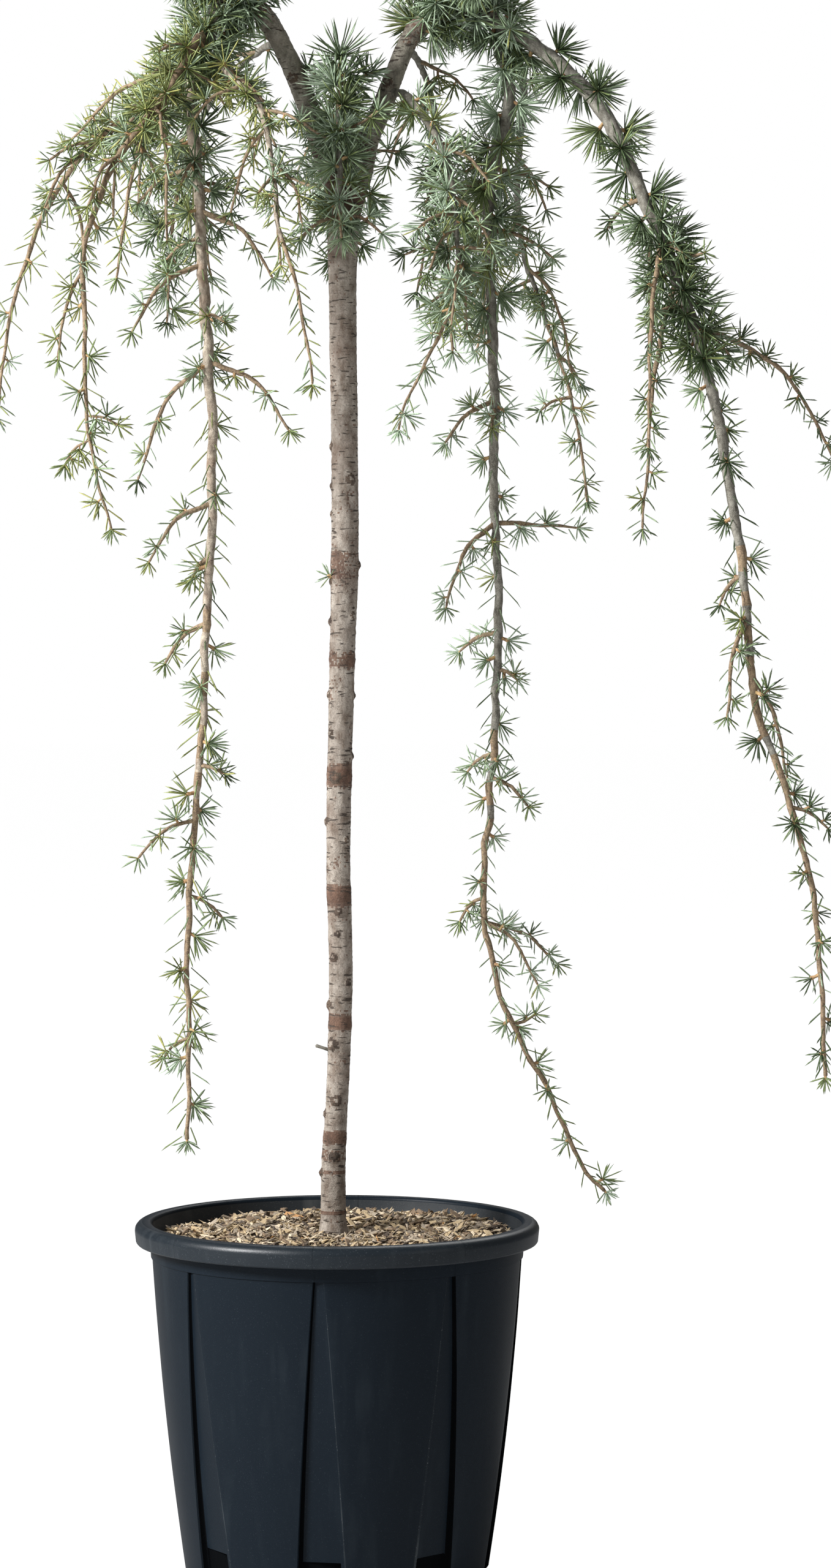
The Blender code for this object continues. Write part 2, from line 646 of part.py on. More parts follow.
def rib_cutters(home):
    """For each step: the wedge that leaves its facet, and the notch between two feet."""
    top = POT_HEIGHT - RIM_DEPTH - COLLAR_DEPTH
    for k in range(RIB_COUNT):
        side = RIB_SIDES[k % len(RIB_SIDES)]
        angle = RIB_FIRST + k * math.tau / RIB_COUNT
        foot = angle - side * RIB_LEAN
        corners = []
        for height, step, width, where in (
            (top, STEP_TOP, FACET_TOP, angle),
            (-OVERCUT, STEP_FOOT, FACET_FOOT, foot),
        ):
            radius = body_radius(height)
            outer = radius + OVERCUT
            far = where + side * width
            corners += [polar(where, radius - step, height), polar(where, outer, height)]
            corners += [polar(far, radius, height), polar(far, outer, height)]
        hull_cutter(f"rib_cutter_{k}", corners, home)
        corners = []
        outer = body_radius(NOTCH_HEIGHT) + OVERCUT
        for height in (-OVERCUT, NOTCH_HEIGHT):
            inner = body_radius(height) - NOTCH_DEPTH
            for share in NOTCH_SPAN:
                where = foot + side * FACET_FOOT * share
                corners += [polar(where, inner, height), polar(where, outer, height)]
        hull_cutter(f"notch_cutter_{k}", corners, home)


def make_pot(home, cutters, finish):
    rim_foot = POT_HEIGHT - RIM_DEPTH
    inner_foot = body_radius(BASE_THICKNESS) - WALL
    lip = RIM_RADIUS - RIM_ROUND
    rolled = [(lip + RIM_ROUND * math.sin(a), POT_HEIGHT - RIM_ROUND * (1 - math.cos(a)))
              for a in (math.radians(30 * k) for k in range(4))]
    profile = [
        (0, BASE_THICKNESS),
        (inner_foot, BASE_THICKNESS),
        (body_radius(SHOULDER) - WALL, SHOULDER),
        (MOUTH_RADIUS - MOUTH_ROUND, 0.3),
        (MOUTH_RADIUS, POT_HEIGHT - MOUTH_ROUND),
        (MOUTH_RADIUS + MOUTH_ROUND, POT_HEIGHT),
        *rolled,
        (RIM_RADIUS - 0.0012, rim_foot + 0.0015),
        (RIM_RADIUS - 0.0028, rim_foot),
        (body_radius(rim_foot) + LEDGE, rim_foot),
        (body_radius(rim_foot - COLLAR_DEPTH) + LEDGE, rim_foot - COLLAR_DEPTH),
        (body_radius(rim_foot - COLLAR_DEPTH), rim_foot - COLLAR_DEPTH),
        (body_radius(FOOT_ROUND), FOOT_ROUND),
        (POT_FOOT_RADIUS - FOOT_ROUND, 0),
        (0, 0),
    ]
    pot = turned("pot", profile, POT_STEPS, home)
    rib_cutters(cutters)
    cut = pot.modifiers.new("ribs", "BOOLEAN")
    cut.operation = "DIFFERENCE"
    cut.operand_type = "COLLECTION"
    cut.collection = cutters
    cut.solver = "EXACT"
    pot.data.materials.append(finish)
    return pot


def make_filling(home, finish):
    """The mix fills the pot to its brim, a little higher round the trunk."""
    clear = GAP / math.cos(math.pi / POT_STEPS)
    foot = BASE_THICKNESS + GAP
    inner_foot = body_radius(BASE_THICKNESS) - WALL
    profile = [
        (0, MULCH_TOP),
        (MULCH_FLAT, MULCH_TOP),
        (0.100, MULCH_TOP - 0.0015),
        (MOUTH_RADIUS - MOUTH_ROUND - FILL_SLACK - clear, MULCH_EDGE),
        (body_radius(SHOULDER) - WALL - clear, SHOULDER),
        (inner_foot - clear, foot),
        (0, foot),
    ]
    filling = turned("mulch_filling", profile, POT_STEPS, home)
    filling.data.materials.append(finish)
    return filling


def make_limb(name, limb, sides_setting, home, finish):
    mesh = weld(tube(name, limb.line, limb.radii, sides_setting, home))
    made = place(name, mesh, home, finish)
    mesh.shade_smooth()
    mesh.set_sharp_from_angle(angle=math.radians(40))
    return made


def make_mass(name, twigs, room, home, finish):
    draw = random.Random(name + " needles")
    pieces = []
    for i, (line, root, tip) in enumerate(twigs):
        pieces.append(needled_twig(f"{name}_{i}", line, root, tip, i == 0, room, draw, home))
    return joined(name, pieces, home, finish)


def build():
    for old in list(bpy.data.objects):
        bpy.data.objects.remove(old)
    home = collection("weeping_cedar")
    cutters = collection("cutters")
    plastic = material("pot_plastic", (0.017, 0.024, 0.031), 0.5)
    mulch = material("bark_mulch", (0.30, 0.20, 0.11), 0.95)
    bark = material("grey_bark", (0.20, 0.17, 0.13), 0.85)
    needles = material("needles", (0.10, 0.20, 0.15), 0.7)
    make_pot(home, cutters, plastic)
    make_filling(home, mulch)
    limbs = grow_limbs()
    solids = {name: make_limb(name, limb, 4 if name == "trunk" else 2, home, bark)
              for name, limb in limbs.items()}
    bpy.context.view_layer.update()
    masses = grow_masses(limbs, solids)
    rooms = {name: Room(name, masses, limbs) for name in masses}
    for name, twigs in masses.items():
        add_twigs(name, masses, rooms[name])
    for name, twigs in masses.items():
        make_mass(name, twigs, rooms[name], home, needles)


build()
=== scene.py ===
import math
import random

import bmesh
import bpy
import numpy as np
from mathutils import Euler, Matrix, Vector, noise


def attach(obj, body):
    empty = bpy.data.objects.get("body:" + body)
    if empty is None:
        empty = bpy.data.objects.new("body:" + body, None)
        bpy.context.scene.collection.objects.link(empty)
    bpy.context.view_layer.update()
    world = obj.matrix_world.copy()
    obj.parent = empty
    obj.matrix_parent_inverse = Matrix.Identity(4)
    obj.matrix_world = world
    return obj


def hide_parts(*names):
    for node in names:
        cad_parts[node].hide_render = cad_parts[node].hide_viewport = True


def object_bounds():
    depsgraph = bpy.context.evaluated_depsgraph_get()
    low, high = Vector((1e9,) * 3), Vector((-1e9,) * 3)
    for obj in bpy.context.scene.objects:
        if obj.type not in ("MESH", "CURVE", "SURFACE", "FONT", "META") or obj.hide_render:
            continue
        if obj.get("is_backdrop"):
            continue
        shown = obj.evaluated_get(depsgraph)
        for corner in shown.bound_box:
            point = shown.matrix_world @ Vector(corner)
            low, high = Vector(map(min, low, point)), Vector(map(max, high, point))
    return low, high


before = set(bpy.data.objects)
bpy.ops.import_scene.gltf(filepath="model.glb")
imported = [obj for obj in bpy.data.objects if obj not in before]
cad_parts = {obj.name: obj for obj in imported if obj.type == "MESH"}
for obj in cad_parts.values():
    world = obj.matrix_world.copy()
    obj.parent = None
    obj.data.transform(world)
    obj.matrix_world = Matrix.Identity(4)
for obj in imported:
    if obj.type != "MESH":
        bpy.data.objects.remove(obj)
cad_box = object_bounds()


# Camera, light and floor
# A long lens a little above the middle of the tree, looking slightly down, in a white studio
# with one broad soft light on the left, a weaker one on the right and light from all round.

scene = bpy.context.scene


def aim(thing, place, target):
    thing.location = place
    thing.rotation_mode = "QUATERNION"
    thing.rotation_quaternion = (Vector(target) - Vector(place)).to_track_quat("-Z", "Y")
    scene.collection.objects.link(thing)


def wire(tree, kind, inputs, **settings):
    """Adds a shader node, sets it, and joins or sets its inputs by name or number."""
    node = tree.nodes.new(kind)
    for key, value in settings.items():
        setattr(node, key, value)
    for key, value in inputs.items():
        if isinstance(value, bpy.types.NodeSocket):
            tree.links.new(value, node.inputs[key])
        else:
            node.inputs[key].default_value = value
    return node


def maths(tree, operation, *values):
    """A Math node on numbers or sockets; returns its output."""
    return wire(tree, "ShaderNodeMath", dict(enumerate(values)), operation=operation).outputs[0]


def between(tree, factor, low, high):
    """A value that runs from low to high as the factor runs from 0 to 1."""
    ends = {"Value": factor, "To Min": low, "To Max": high}
    return wire(tree, "ShaderNodeMapRange", ends).outputs["Result"]


lens = bpy.data.cameras.new("camera")
lens.lens = 100.2
lens.clip_start = 0.1
camera = bpy.data.objects.new("camera", lens)
aim(camera, (0.072, -4.0, 0.865), (0.072, 0, 0.7263))
scene.camera = camera

for name, place, size, power in (
    ("key_light", (-3.6, -2.0, 2.9), 1.2, 520),
    ("fill_light", (3.2, -2.4, 1.8), 2.4, 14),
    ("back_light", (0.8, 3.2, 3.4), 2.4, 70),
):
    light = bpy.data.lights.new(name, "AREA")
    light.size = size
    light.energy = power
    aim(bpy.data.objects.new(name, light), place, (0, 0, 0.8))

studio = bpy.data.worlds.new("studio")
studio.use_nodes = True
tree = studio.node_tree
room = tree.nodes["Background"].inputs
room["Color"].default_value = (1, 1, 1, 1)
# The white room lights the tree evenly, is mirrored less, and is plain white to the lens
sight = wire(tree, "ShaderNodeLightPath", {}).outputs
mirrored = between(tree, sight["Is Glossy Ray"], 0.34, 0.10)
tree.links.new(between(tree, sight["Is Camera Ray"], mirrored, 1.0), room["Strength"])
scene.world = studio
scene.view_settings.view_transform = "Standard"

bpy.ops.mesh.primitive_plane_add(size=60, location=(0, 0, -0.0005))
floor = bpy.context.object
floor.name = "floor"
paper = bpy.data.materials.new("white_paper")
paper.use_nodes = True
tree = paper.node_tree
sheet = tree.nodes["Principled BSDF"].inputs
sheet["Roughness"].default_value = 0.9
sheet["Emission Color"].default_value = (1, 1, 1, 1)
# The paper throws white light up at the tree, is mirrored less, and is plain white to the lens
sight = wire(tree, "ShaderNodeLightPath", {}).outputs
mirrored = between(tree, sight["Is Glossy Ray"], 0.9, 0.3)
tree.links.new(between(tree, sight["Is Camera Ray"], mirrored, 0.06), sheet["Base Color"])
tree.links.new(maths(tree, "MULTIPLY", sight["Is Camera Ray"], 0.97), sheet["Emission Strength"])
floor.data.materials.append(paper)
floor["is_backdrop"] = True


# Pot
# An injection-moulded nursery container in black plastic, slightly blue and matt, with a
# rolled rim, a plain collar and eight stepped ribs, each with a flat facet and a drain notch.

POT_HEIGHT = 0.325
FOOT_RADIUS = 0.1392
NECK_RADIUS = 0.1708
SWELL = 0.0034  # how far the wall bows out halfway up
RIM_RADIUS = 0.1860
RIM_DEPTH = 0.0195
RIM_ROUND = 0.0080
MOUTH_RADIUS = 0.1700
MOUTH_ROUND = 0.0035
COLLAR_DEPTH = 0.0130
LEDGE = 0.0012
WALL = 0.0085
BASE_THICKNESS = 0.0060
SHOULDER = 0.2800  # inside, the wall has its full thickness from here down
RIB_FIRST = math.radians(-51)
RIB_SIDES = (1, 1, -1, -1, 1, 1, -1, -1)
RIB_LEAN = math.radians(8)
RIB_RUNOUT = 0.004  # the ribs would widen on to this far below the foot
FACET = (math.radians(3), math.radians(19))  # a facet's width at its top and at the foot
STEP = (0.0032, 0.0060)  # a step's depth at its top and at the foot
STEP_ROUND = 0.0011
NOTCH_HEIGHT = 0.037
NOTCH_DEPTH = 0.0072
RIB_TOP = POT_HEIGHT - RIM_DEPTH - COLLAR_DEPTH
UNEVEN = 0.00025  # the moulded wall is this far from true
FOOT_ROUND = ((0.0, 0.0040), (0.0006, 0.0022), (0.0018, 0.0008))  # height, and how far back
RIM_UNDERSIDE = ((0, 0.0050), (0, 0.0028), (0.0004, 0.0018), (0.0015, 0.0010))
CREASE = math.radians(28)  # edges that turn by more than this stay sharp


def body_radius(height):
    """The pot's outer radius under its rim, where the wall bows out a little."""
    share = height / (POT_HEIGHT - RIM_DEPTH)
    return FOOT_RADIUS + (NECK_RADIUS - FOOT_RADIUS) * share + SWELL * 4 * share * (1 - share)


def pot_columns():
    """The columns round the pot: the rib, which part of it, and the place on that part."""
    own = [("step", s) for s in (-1.0, -0.3, 0.0, 0.3, 1.0)]
    own += [("facet", s) for s in (0.05, 0.07, 0.16, 0.28, 0.4, 0.52, 0.64, 0.76, 0.88, 0.9, 0.97, 1.0)]
    columns = []
    for rib, side in enumerate(RIB_SIDES):
        columns += [(rib, kind, s) for kind, s in (own if side > 0 else own[::-1])]
        columns += [(rib, "panel", (i + 0.35) / 10) for i in range(10)]
    return columns


def rib_edges(rib, height):
    """The angles of a rib's step and of its facet's far edge at a height."""
    side = RIB_SIDES[rib]
    down = (RIB_TOP - height) / (RIB_TOP + RIB_RUNOUT)
    edge = RIB_FIRST + rib * math.tau / 8 - side * RIB_LEAN * down
    return edge, edge + side * (FACET[0] + (FACET[1] - FACET[0]) * down), down


def ribbed_point(column, height, radius):
    """A point of the ribbed wall: its angle from the front towards +X, and its radius."""
    rib, kind, s = column
    height = min(height, RIB_TOP)
    edge, far, down = rib_edges(rib, height)
    side = RIB_SIDES[rib]
    step = STEP[0] + (STEP[1] - STEP[0]) * down
    if kind == "step":
        sunk = step * (0.5 + 0.5 * math.sin(s * math.pi / 2))
        return edge + side * s * STEP_ROUND / radius, radius - sunk
    if kind == "facet":
        a = Vector((math.cos(edge), math.sin(edge))) * (radius - step)
        b = Vector((math.cos(far), math.sin(far))) * radius
        on = a.lerp(b, s)
        depth = NOTCH_DEPTH if height < NOTCH_HEIGHT and 0.06 < s < 0.9 else 0
        return math.atan2(on.y, on.x), min(on.length, radius - depth)
    here = max(edge, far)
    ahead = rib_edges((rib + 1) % 8, height)
    ahead = min(ahead[0], ahead[1]) + (math.tau if rib == 7 else 0)
    return here + (ahead - here) * s, radius


def pot_rows():
    """The rows up the outside, over the rim and down the inside: height, radius, ribbed."""
    rows = [(z, FOOT_RADIUS - back, True) for z, back in FOOT_ROUND]
    heights = [0.004 + 0.0055 * i for i in range(6)] + [NOTCH_HEIGHT - 0.0004, NOTCH_HEIGHT + 0.0004]
    heights += [0.042 + 0.0071 * i for i in range(36)] + [RIB_TOP - 0.0004]
    rows += [(z, body_radius(z), True) for z in heights]
    under = POT_HEIGHT - RIM_DEPTH
    rows += [(z, body_radius(z) + LEDGE, False) for z in (RIB_TOP, RIB_TOP + 0.004, under - 0.001)]
    rows += [(under + up, RIM_RADIUS - back, False) for up, back in RIM_UNDERSIDE]
    for edge, way, round_by, degrees in (
        (RIM_RADIUS, -1, RIM_ROUND, range(90, -1, -10)), (MOUTH_RADIUS, 1, MOUTH_ROUND, range(0, 91, 15))
    ):
        for a in map(math.radians, degrees):
            back = edge + way * round_by * (1 - math.sin(a))
            rows.append((POT_HEIGHT - round_by * (1 - math.cos(a)), back, False))
    rows += [(0.300, MOUTH_RADIUS - MOUTH_ROUND, False), (SHOULDER, body_radius(SHOULDER) - WALL, False),
             (BASE_THICKNESS, body_radius(BASE_THICKNESS) - WALL, False)]
    return rows


def mesh_of(name, points, groups, finishes):
    """A mesh from its points and from groups of faces: (corners of each, finish number)."""
    mesh = bpy.data.meshes.new(name)
    corners = [face for faces, _ in groups for face in np.asarray(faces).tolist()]
    looks = np.concatenate([np.broadcast_to(look, len(faces)) for faces, look in groups])
    mesh.from_pydata(np.asarray(points, np.float32).reshape(-1, 3), [], corners)
    mesh.polygons.foreach_set("material_index", looks.astype(np.int32))
    mesh.shade_smooth()
    for material in finishes:
        mesh.materials.append(material)
    made = bpy.data.objects.new(name, mesh)
    scene.collection.objects.link(made)
    return made


def grid_faces(rows, columns, start=0):
    """Quads of a net of points: rows of columns, closed round each row."""
    row, column = np.meshgrid(np.arange(rows - 1), np.arange(columns), indexing="ij")
    after = (column + 1) % columns
    faces = np.stack([row * columns + column, row * columns + after,
                      (row + 1) * columns + after, (row + 1) * columns + column], -1)
    return faces.reshape(-1, 4) + start


def fan(middle, first, count, way=1):
    """Triangles from a middle point to a ring of points, turned over where the way is -1."""
    ring = [(first + k, first + (k + 1) % count) for k in range(count)]
    return [(middle, *pair[::way]) for pair in ring]


def new_group(name, inputs):
    """A node group with its colour or number inputs; returns it and their sockets."""
    group = bpy.data.node_groups.new(name, "ShaderNodeTree")
    for key, value in inputs.items():
        colour = isinstance(value, tuple)
        socket = group.interface.new_socket(
            key, in_out="INPUT", socket_type="NodeSocketColor" if colour else "NodeSocketFloat")
        socket.default_value = (*value, 1) if colour else value
    return group, group.nodes.new("NodeGroupInput").outputs


def give_out(group, colour, roughness, height):
    """Leads the three results out of a node group; returns the group."""
    given = {"Colour": colour, "Roughness": roughness, "Height": height}
    for key in given:
        kind = "NodeSocketColor" if key == "Colour" else "NodeSocketFloat"
        group.interface.new_socket(key, in_out="OUTPUT", socket_type=kind)
    wire(group, "NodeGroupOutput", given)
    return group


def clouds(tree, where, scale, detail, rough=0.5):
    """A noise texture's value, from 0 to 1."""
    return wire(tree, "ShaderNodeTexNoise", {
        "Vector": where, "Scale": scale, "Detail": detail, "Roughness": rough}).outputs["Fac"]


def surface_place(tree):
    return wire(tree, "ShaderNodeTexCoord", {}).outputs["Object"]


def stretched(tree, where, scale):
    return wire(tree, "ShaderNodeMapping", {"Vector": where, "Scale": scale}).outputs[0]


def ramp(tree, fac, stops):
    """A grey ramp: stops are (place, grey)."""
    node = wire(tree, "ShaderNodeValToRGB", {"Fac": fac})
    points = node.color_ramp.elements
    while len(points) < len(stops):
        points.new(0.5)
    for point, (place, grey) in zip(points, stops):
        point.position = place
        point.color = (grey, grey, grey, 1)
    return node.outputs["Color"]


def mix(tree, fac, a, b, blend="MIX"):
    """Mixes two colours; returns the colour socket."""
    node = wire(tree, "ShaderNodeMix", {0: fac, 6: a, 7: b}, data_type="RGBA", blend_type=blend)
    return node.outputs[2]


def worn_surface():
    """Node group: fine grain, speckle and dust over a moulded or grown surface."""
    group, given = new_group("worn_surface", {
        "Colour": (0.5, 0.5, 0.5), "Dust Colour": (0.5, 0.5, 0.5), "Dust": 0.3, "Grain Size": 400.0,
        "Roughness": 0.5})
    where = surface_place(group)
    grain = clouds(group, where, given["Grain Size"], 3)
    patches = ramp(group, clouds(group, where, 9.0, 5, 0.65), ((0.42, 0.0), (0.72, 1.0)))
    streaks = clouds(group, stretched(group, where, (1, 1, 0.12)), 70.0, 4)
    streaks = ramp(group, streaks, ((0.5, 0.0), (0.75, 1.0)))
    specks = ramp(group, grain, ((0.62, 0.0), (0.72, 1.0)))
    dirt = maths(group, "MAXIMUM", maths(group, "MULTIPLY", patches, streaks), specks)
    dirt = maths(group, "MULTIPLY", dirt, given["Dust"])
    rough = maths(group, "MULTIPLY_ADD", dirt, 0.35, given["Roughness"])
    return give_out(group, mix(group, dirt, given["Colour"], given["Dust Colour"]), rough, grain)


WORN = worn_surface()


def finish(name, group, values, bump, depth, rough=None, gloss=0.5):
    """A Principled material whose colour, roughness and relief come from a node group."""
    made = bpy.data.materials.new(name)
    made.use_nodes = True
    tree = made.node_tree
    shader = tree.nodes["Principled BSDF"].inputs
    shader["Specular IOR Level"].default_value = gloss
    effect = wire(tree, "ShaderNodeGroup", {}, node_tree=group)
    for key, value in values.items():
        effect.inputs[key].default_value = (*value, 1) if isinstance(value, tuple) else value
    tree.links.new(effect.outputs["Colour"], shader["Base Color"])
    if rough is None:
        tree.links.new(effect.outputs["Roughness"], shader["Roughness"])
    else:
        shader["Roughness"].default_value = rough
    relief = {"Height": effect.outputs["Height"], "Strength": bump, "Distance": depth}
    tree.links.new(wire(tree, "ShaderNodeBump", relief).outputs["Normal"], shader["Normal"])
    return made


columns = pot_columns()
rows = pot_rows()
points = []
for height, radius, ribbed in rows:
    for column in columns:
        angle, r = ribbed_point(column, height if ribbed else RIB_TOP, radius)
        r = r if ribbed else radius
        r += UNEVEN * noise.noise((6 * math.sin(angle), 6 * math.cos(angle), 14 * height))
        points.append((r * math.sin(angle), -r * math.cos(angle), height))
wide, middle = len(columns), len(points)
fans = fan(middle, 0, wide, -1) + fan(middle + 1, middle - wide, wide)
points += [(0, 0, 0), (0, 0, BASE_THICKNESS)]
pot_finishes = [
    finish(name, WORN, {"Colour": colour, "Dust Colour": dusty, "Dust": dust, "Grain Size": 900.0,
                        "Roughness": rough}, 0.25, 0.0004, None, gloss)
    for name, colour, dusty, dust, rough, gloss in (
        ("pot_plastic", (0.0048, 0.0082, 0.0125), (0.060, 0.078, 0.088), 0.14, 0.42, 0.085),
        # painted shade: a near-black finish for the step walls, the facets' first strips and the notch
        # backs
        ("pot_plastic_painted_shade", (0.0012, 0.0016, 0.0022), (0.012, 0.011, 0.010), 0.2, 0.8, 0.03),
        # partly scuffing, partly a painted highlight: the lighter strip along each facet's far crease
        ("pot_plastic_scuffed_highlight", (0.0060, 0.0100, 0.0145), (0.150, 0.165, 0.170), 0.5, 0.5, 0.12),
        # partly dust specks and scratches, partly a painted highlight: the lighter colour of the rolled rim
        ("pot_plastic_rim_highlight", (0.0080, 0.0118, 0.0160), (0.110, 0.125, 0.135), 0.28, 0.38, 0.30),
        # painted light: a lighter copy of the plastic for the inside wall, which lies in the rim's shade
        ("pot_plastic_inside_painted_light", (0.0170, 0.0200, 0.0230), (0.120, 0.120, 0.115), 0.35, 0.55, 0.20),
    )]
PLAIN, PAINTED_SHADE, SCUFFED_HIGHLIGHT, RIM, INSIDE = range(5)
INSIDE_ROWS = 4
looks = np.zeros((len(rows) - 1, wide), int)
for r, (height, radius, ribbed) in enumerate(rows[:-1]):
    for c, (_, kind, s) in enumerate(columns):
        # Painted light: the last rows, down the inside wall, take the lighter copy of the plastic to
        # brighten them in the rim's shade
        if r >= len(rows) - INSIDE_ROWS:
            looks[r, c] = INSIDE
        # The rim is lighter in colour than the wall: partly dust specks and scratches, partly a painted
        # highlight along the rolled rim
        elif not ribbed:
            looks[r, c] = RIM if radius > RIM_RADIUS - 0.006 else PLAIN
        # Painted shade: the notch backs, the step walls and the first strip of each facet take the
        # near-black finish, for the shade that falls in these recesses
        elif kind == "facet" and height < NOTCH_HEIGHT - 0.001 and 0.065 < s < 0.89:
            looks[r, c] = PAINTED_SHADE
        elif kind == "step" and -0.5 < s or kind == "facet" and s < 0.06:
            looks[r, c] = PAINTED_SHADE
        # A lighter, dustier strip along each facet's far crease: partly scuffing, partly a painted
        # highlight where the crease catches the light
        elif kind == "facet" and 0.96 < s < 0.99:
            looks[r, c] = SCUFFED_HIGHLIGHT
pot = mesh_of("nursery_pot", points, [(grid_faces(len(rows), wide), looks.ravel()), (fans, PLAIN)],
              pot_finishes)
pot.data.set_sharp_from_angle(angle=CREASE)
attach(pot, "root")
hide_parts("pot")


# Filling
# Potting mix to just under the brim, under a loose layer of chipped pine bark: flat, broken
# flakes in tan, brown and near black, a little higher round the trunk.

MULCH_TOP = 0.3150
MULCH_EDGE = 0.3100
MIX_RADIUS = 0.1653
HEAP = 0.0030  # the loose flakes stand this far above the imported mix
DIP = 0.0060  # they lie this much lower round the trunk
DIP_REACH = 0.040
ROLL = 0.0034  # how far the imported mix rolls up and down
CHIP_KINDS = 14
CHIPS = 7600
CHIP_FLATNESS = (1, 0.27, 0.13)
CHIP_CORNERS = 11
CHIP_TILT = 0.36
CHIP_LENGTH, CHIP_SPREAD = 0.0112, 0.42  # the middle length, and how widely lengths spread
CHIP_SHORTEST, CHIP_LONGEST = 0.004, 0.026
LOOSE = (-0.0005, 0.0050)  # how far a chip lies off the heap's surface
CHIP_COLOURS = {
    "bark_chip_tan": (0.37, 0.280, 0.165), "bark_chip_brown": (0.19, 0.130, 0.080),
    "bark_chip_grey": (0.33, 0.270, 0.200), "bark_chip_dark": (0.060, 0.043, 0.030),
    "bark_chip_pale": (0.58, 0.48, 0.34), "bark_chip_orange": (0.40, 0.21, 0.08),
}
CHIP_SHARES = (0.27, 0.20, 0.23, 0.19, 0.10, 0.01)  # how many have each colour
SOIL_ROWS, SOIL_COLUMNS = 60, 96
SOIL_FOOT = SHOULDER + 0.004


def mulch_height(x, y):
    share = min(1.0, math.hypot(x, y) / MIX_RADIUS)
    swell = ROLL * noise.noise((17 * x, 17 * y, 0.5)) + 0.0012 * x / MIX_RADIUS
    packed = MULCH_TOP + (MULCH_EDGE - MULCH_TOP) * share ** 2 - HEAP
    return packed + swell + HEAP * (1 - share ** 6) - DIP * math.exp(-(x * x + y * y) / DIP_REACH ** 2)


def chip_shape(draw):
    """One broken flake of bark: the hull of a few points in a flat box, one unit long."""
    work = bmesh.new()
    for _ in range(CHIP_CORNERS):
        work.verts.new([draw.uniform(-0.5, 0.5) * flat for flat in CHIP_FLATNESS])
    bmesh.ops.convex_hull(work, input=work.verts)
    bmesh.ops.delete(work, geom=[v for v in work.verts if not v.link_faces], context="VERTS")
    work.verts.index_update()
    made = np.array([v.co for v in work.verts]), np.array([[v.index for v in f.verts] for f in work.faces])
    work.free()
    return made


rng = np.random.default_rng(7)
draw = random.Random(7)
shapes = [chip_shape(draw) for _ in range(CHIP_KINDS)]
radius = (MIX_RADIUS - 0.004) * np.sqrt(rng.uniform(0.0, 1, CHIPS))
angle = rng.uniform(0, math.tau, CHIPS)
length = rng.lognormal(math.log(CHIP_LENGTH), CHIP_SPREAD, CHIPS).clip(CHIP_SHORTEST, CHIP_LONGEST)
angles = rng.uniform(0, math.tau, CHIPS), rng.normal(0, CHIP_TILT, CHIPS), rng.normal(0, CHIP_TILT, CHIPS)
points, groups, count = [], [], 0
for i, (heading, pitch, roll) in enumerate(zip(*angles)):
    corners, faces = shapes[i % CHIP_KINDS]
    reach = min(radius[i], MIX_RADIUS - 0.5 * length[i])
    x, y = reach * math.sin(angle[i]), -reach * math.cos(angle[i])
    lift = mulch_height(x, y) + rng.uniform(*LOOSE)
    turn = np.array(Euler((roll, pitch, heading)).to_matrix())
    points.append((corners * length[i]) @ turn.T + (x, y, lift))
    groups.append((faces + count, int(rng.choice(len(CHIP_SHARES), p=CHIP_SHARES))))
    count += len(corners)
chip_looks = [
    finish(name, WORN, {
        "Colour": colour, "Dust Colour": tuple(c * share for c, share in zip(colour, (0.35, 0.3, 0.28))),
        "Dust": 0.75, "Grain Size": 1100.0, "Roughness": 0.85}, 0.8, 0.0008)
    for name, colour in CHIP_COLOURS.items()]
chips = mesh_of("bark_mulch_chips", np.concatenate(points), groups, chip_looks)
chips.data.shade_flat()
points = []
for row in range(1, SOIL_ROWS + 1):
    for k in range(SOIL_COLUMNS):
        r, a = MIX_RADIUS * row / SOIL_ROWS, math.tau * k / SOIL_COLUMNS
        x, y = r * math.sin(a), -r * math.cos(a)
        bump = 0.0016 * noise.fractal((90 * x, 90 * y, 0), 0.8, 2.1, 3)
        points.append((x, y, mulch_height(x, y) - 0.0012 + bump))
points += [(x, y, SOIL_FOOT) for x, y, _ in points[-SOIL_COLUMNS:]]
middle = len(points)
points += [(0, 0, mulch_height(0, 0)), (0, 0, SOIL_FOOT)]
caps = fan(middle, 0, SOIL_COLUMNS) + fan(middle + 1, middle - SOIL_COLUMNS, SOIL_COLUMNS, -1)
potting_mix = finish("potting_mix", WORN, {
    "Colour": (0.060, 0.038, 0.024), "Dust Colour": (0.20, 0.14, 0.08), "Dust": 0.8,
    "Grain Size": 500.0, "Roughness": 0.9}, 1.0, 0.002)
mix_surface = mesh_of("potting_mix_surface", points,
                      [(grid_faces(SOIL_ROWS + 1, SOIL_COLUMNS)[:, ::-1], 0), (caps, 0)], [potting_mix])
for piece in (chips, mix_surface):
    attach(piece, "root")
    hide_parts("mulch_filling")


# Trunk
# One straight stem, a rootstock trained to a single pole: smooth grey bark with fine level
# pores, darker brown bands where whorls of twigs were cut away, and small healed knots.

BARK_STEP = 0.006
FINE_STEPS = 16


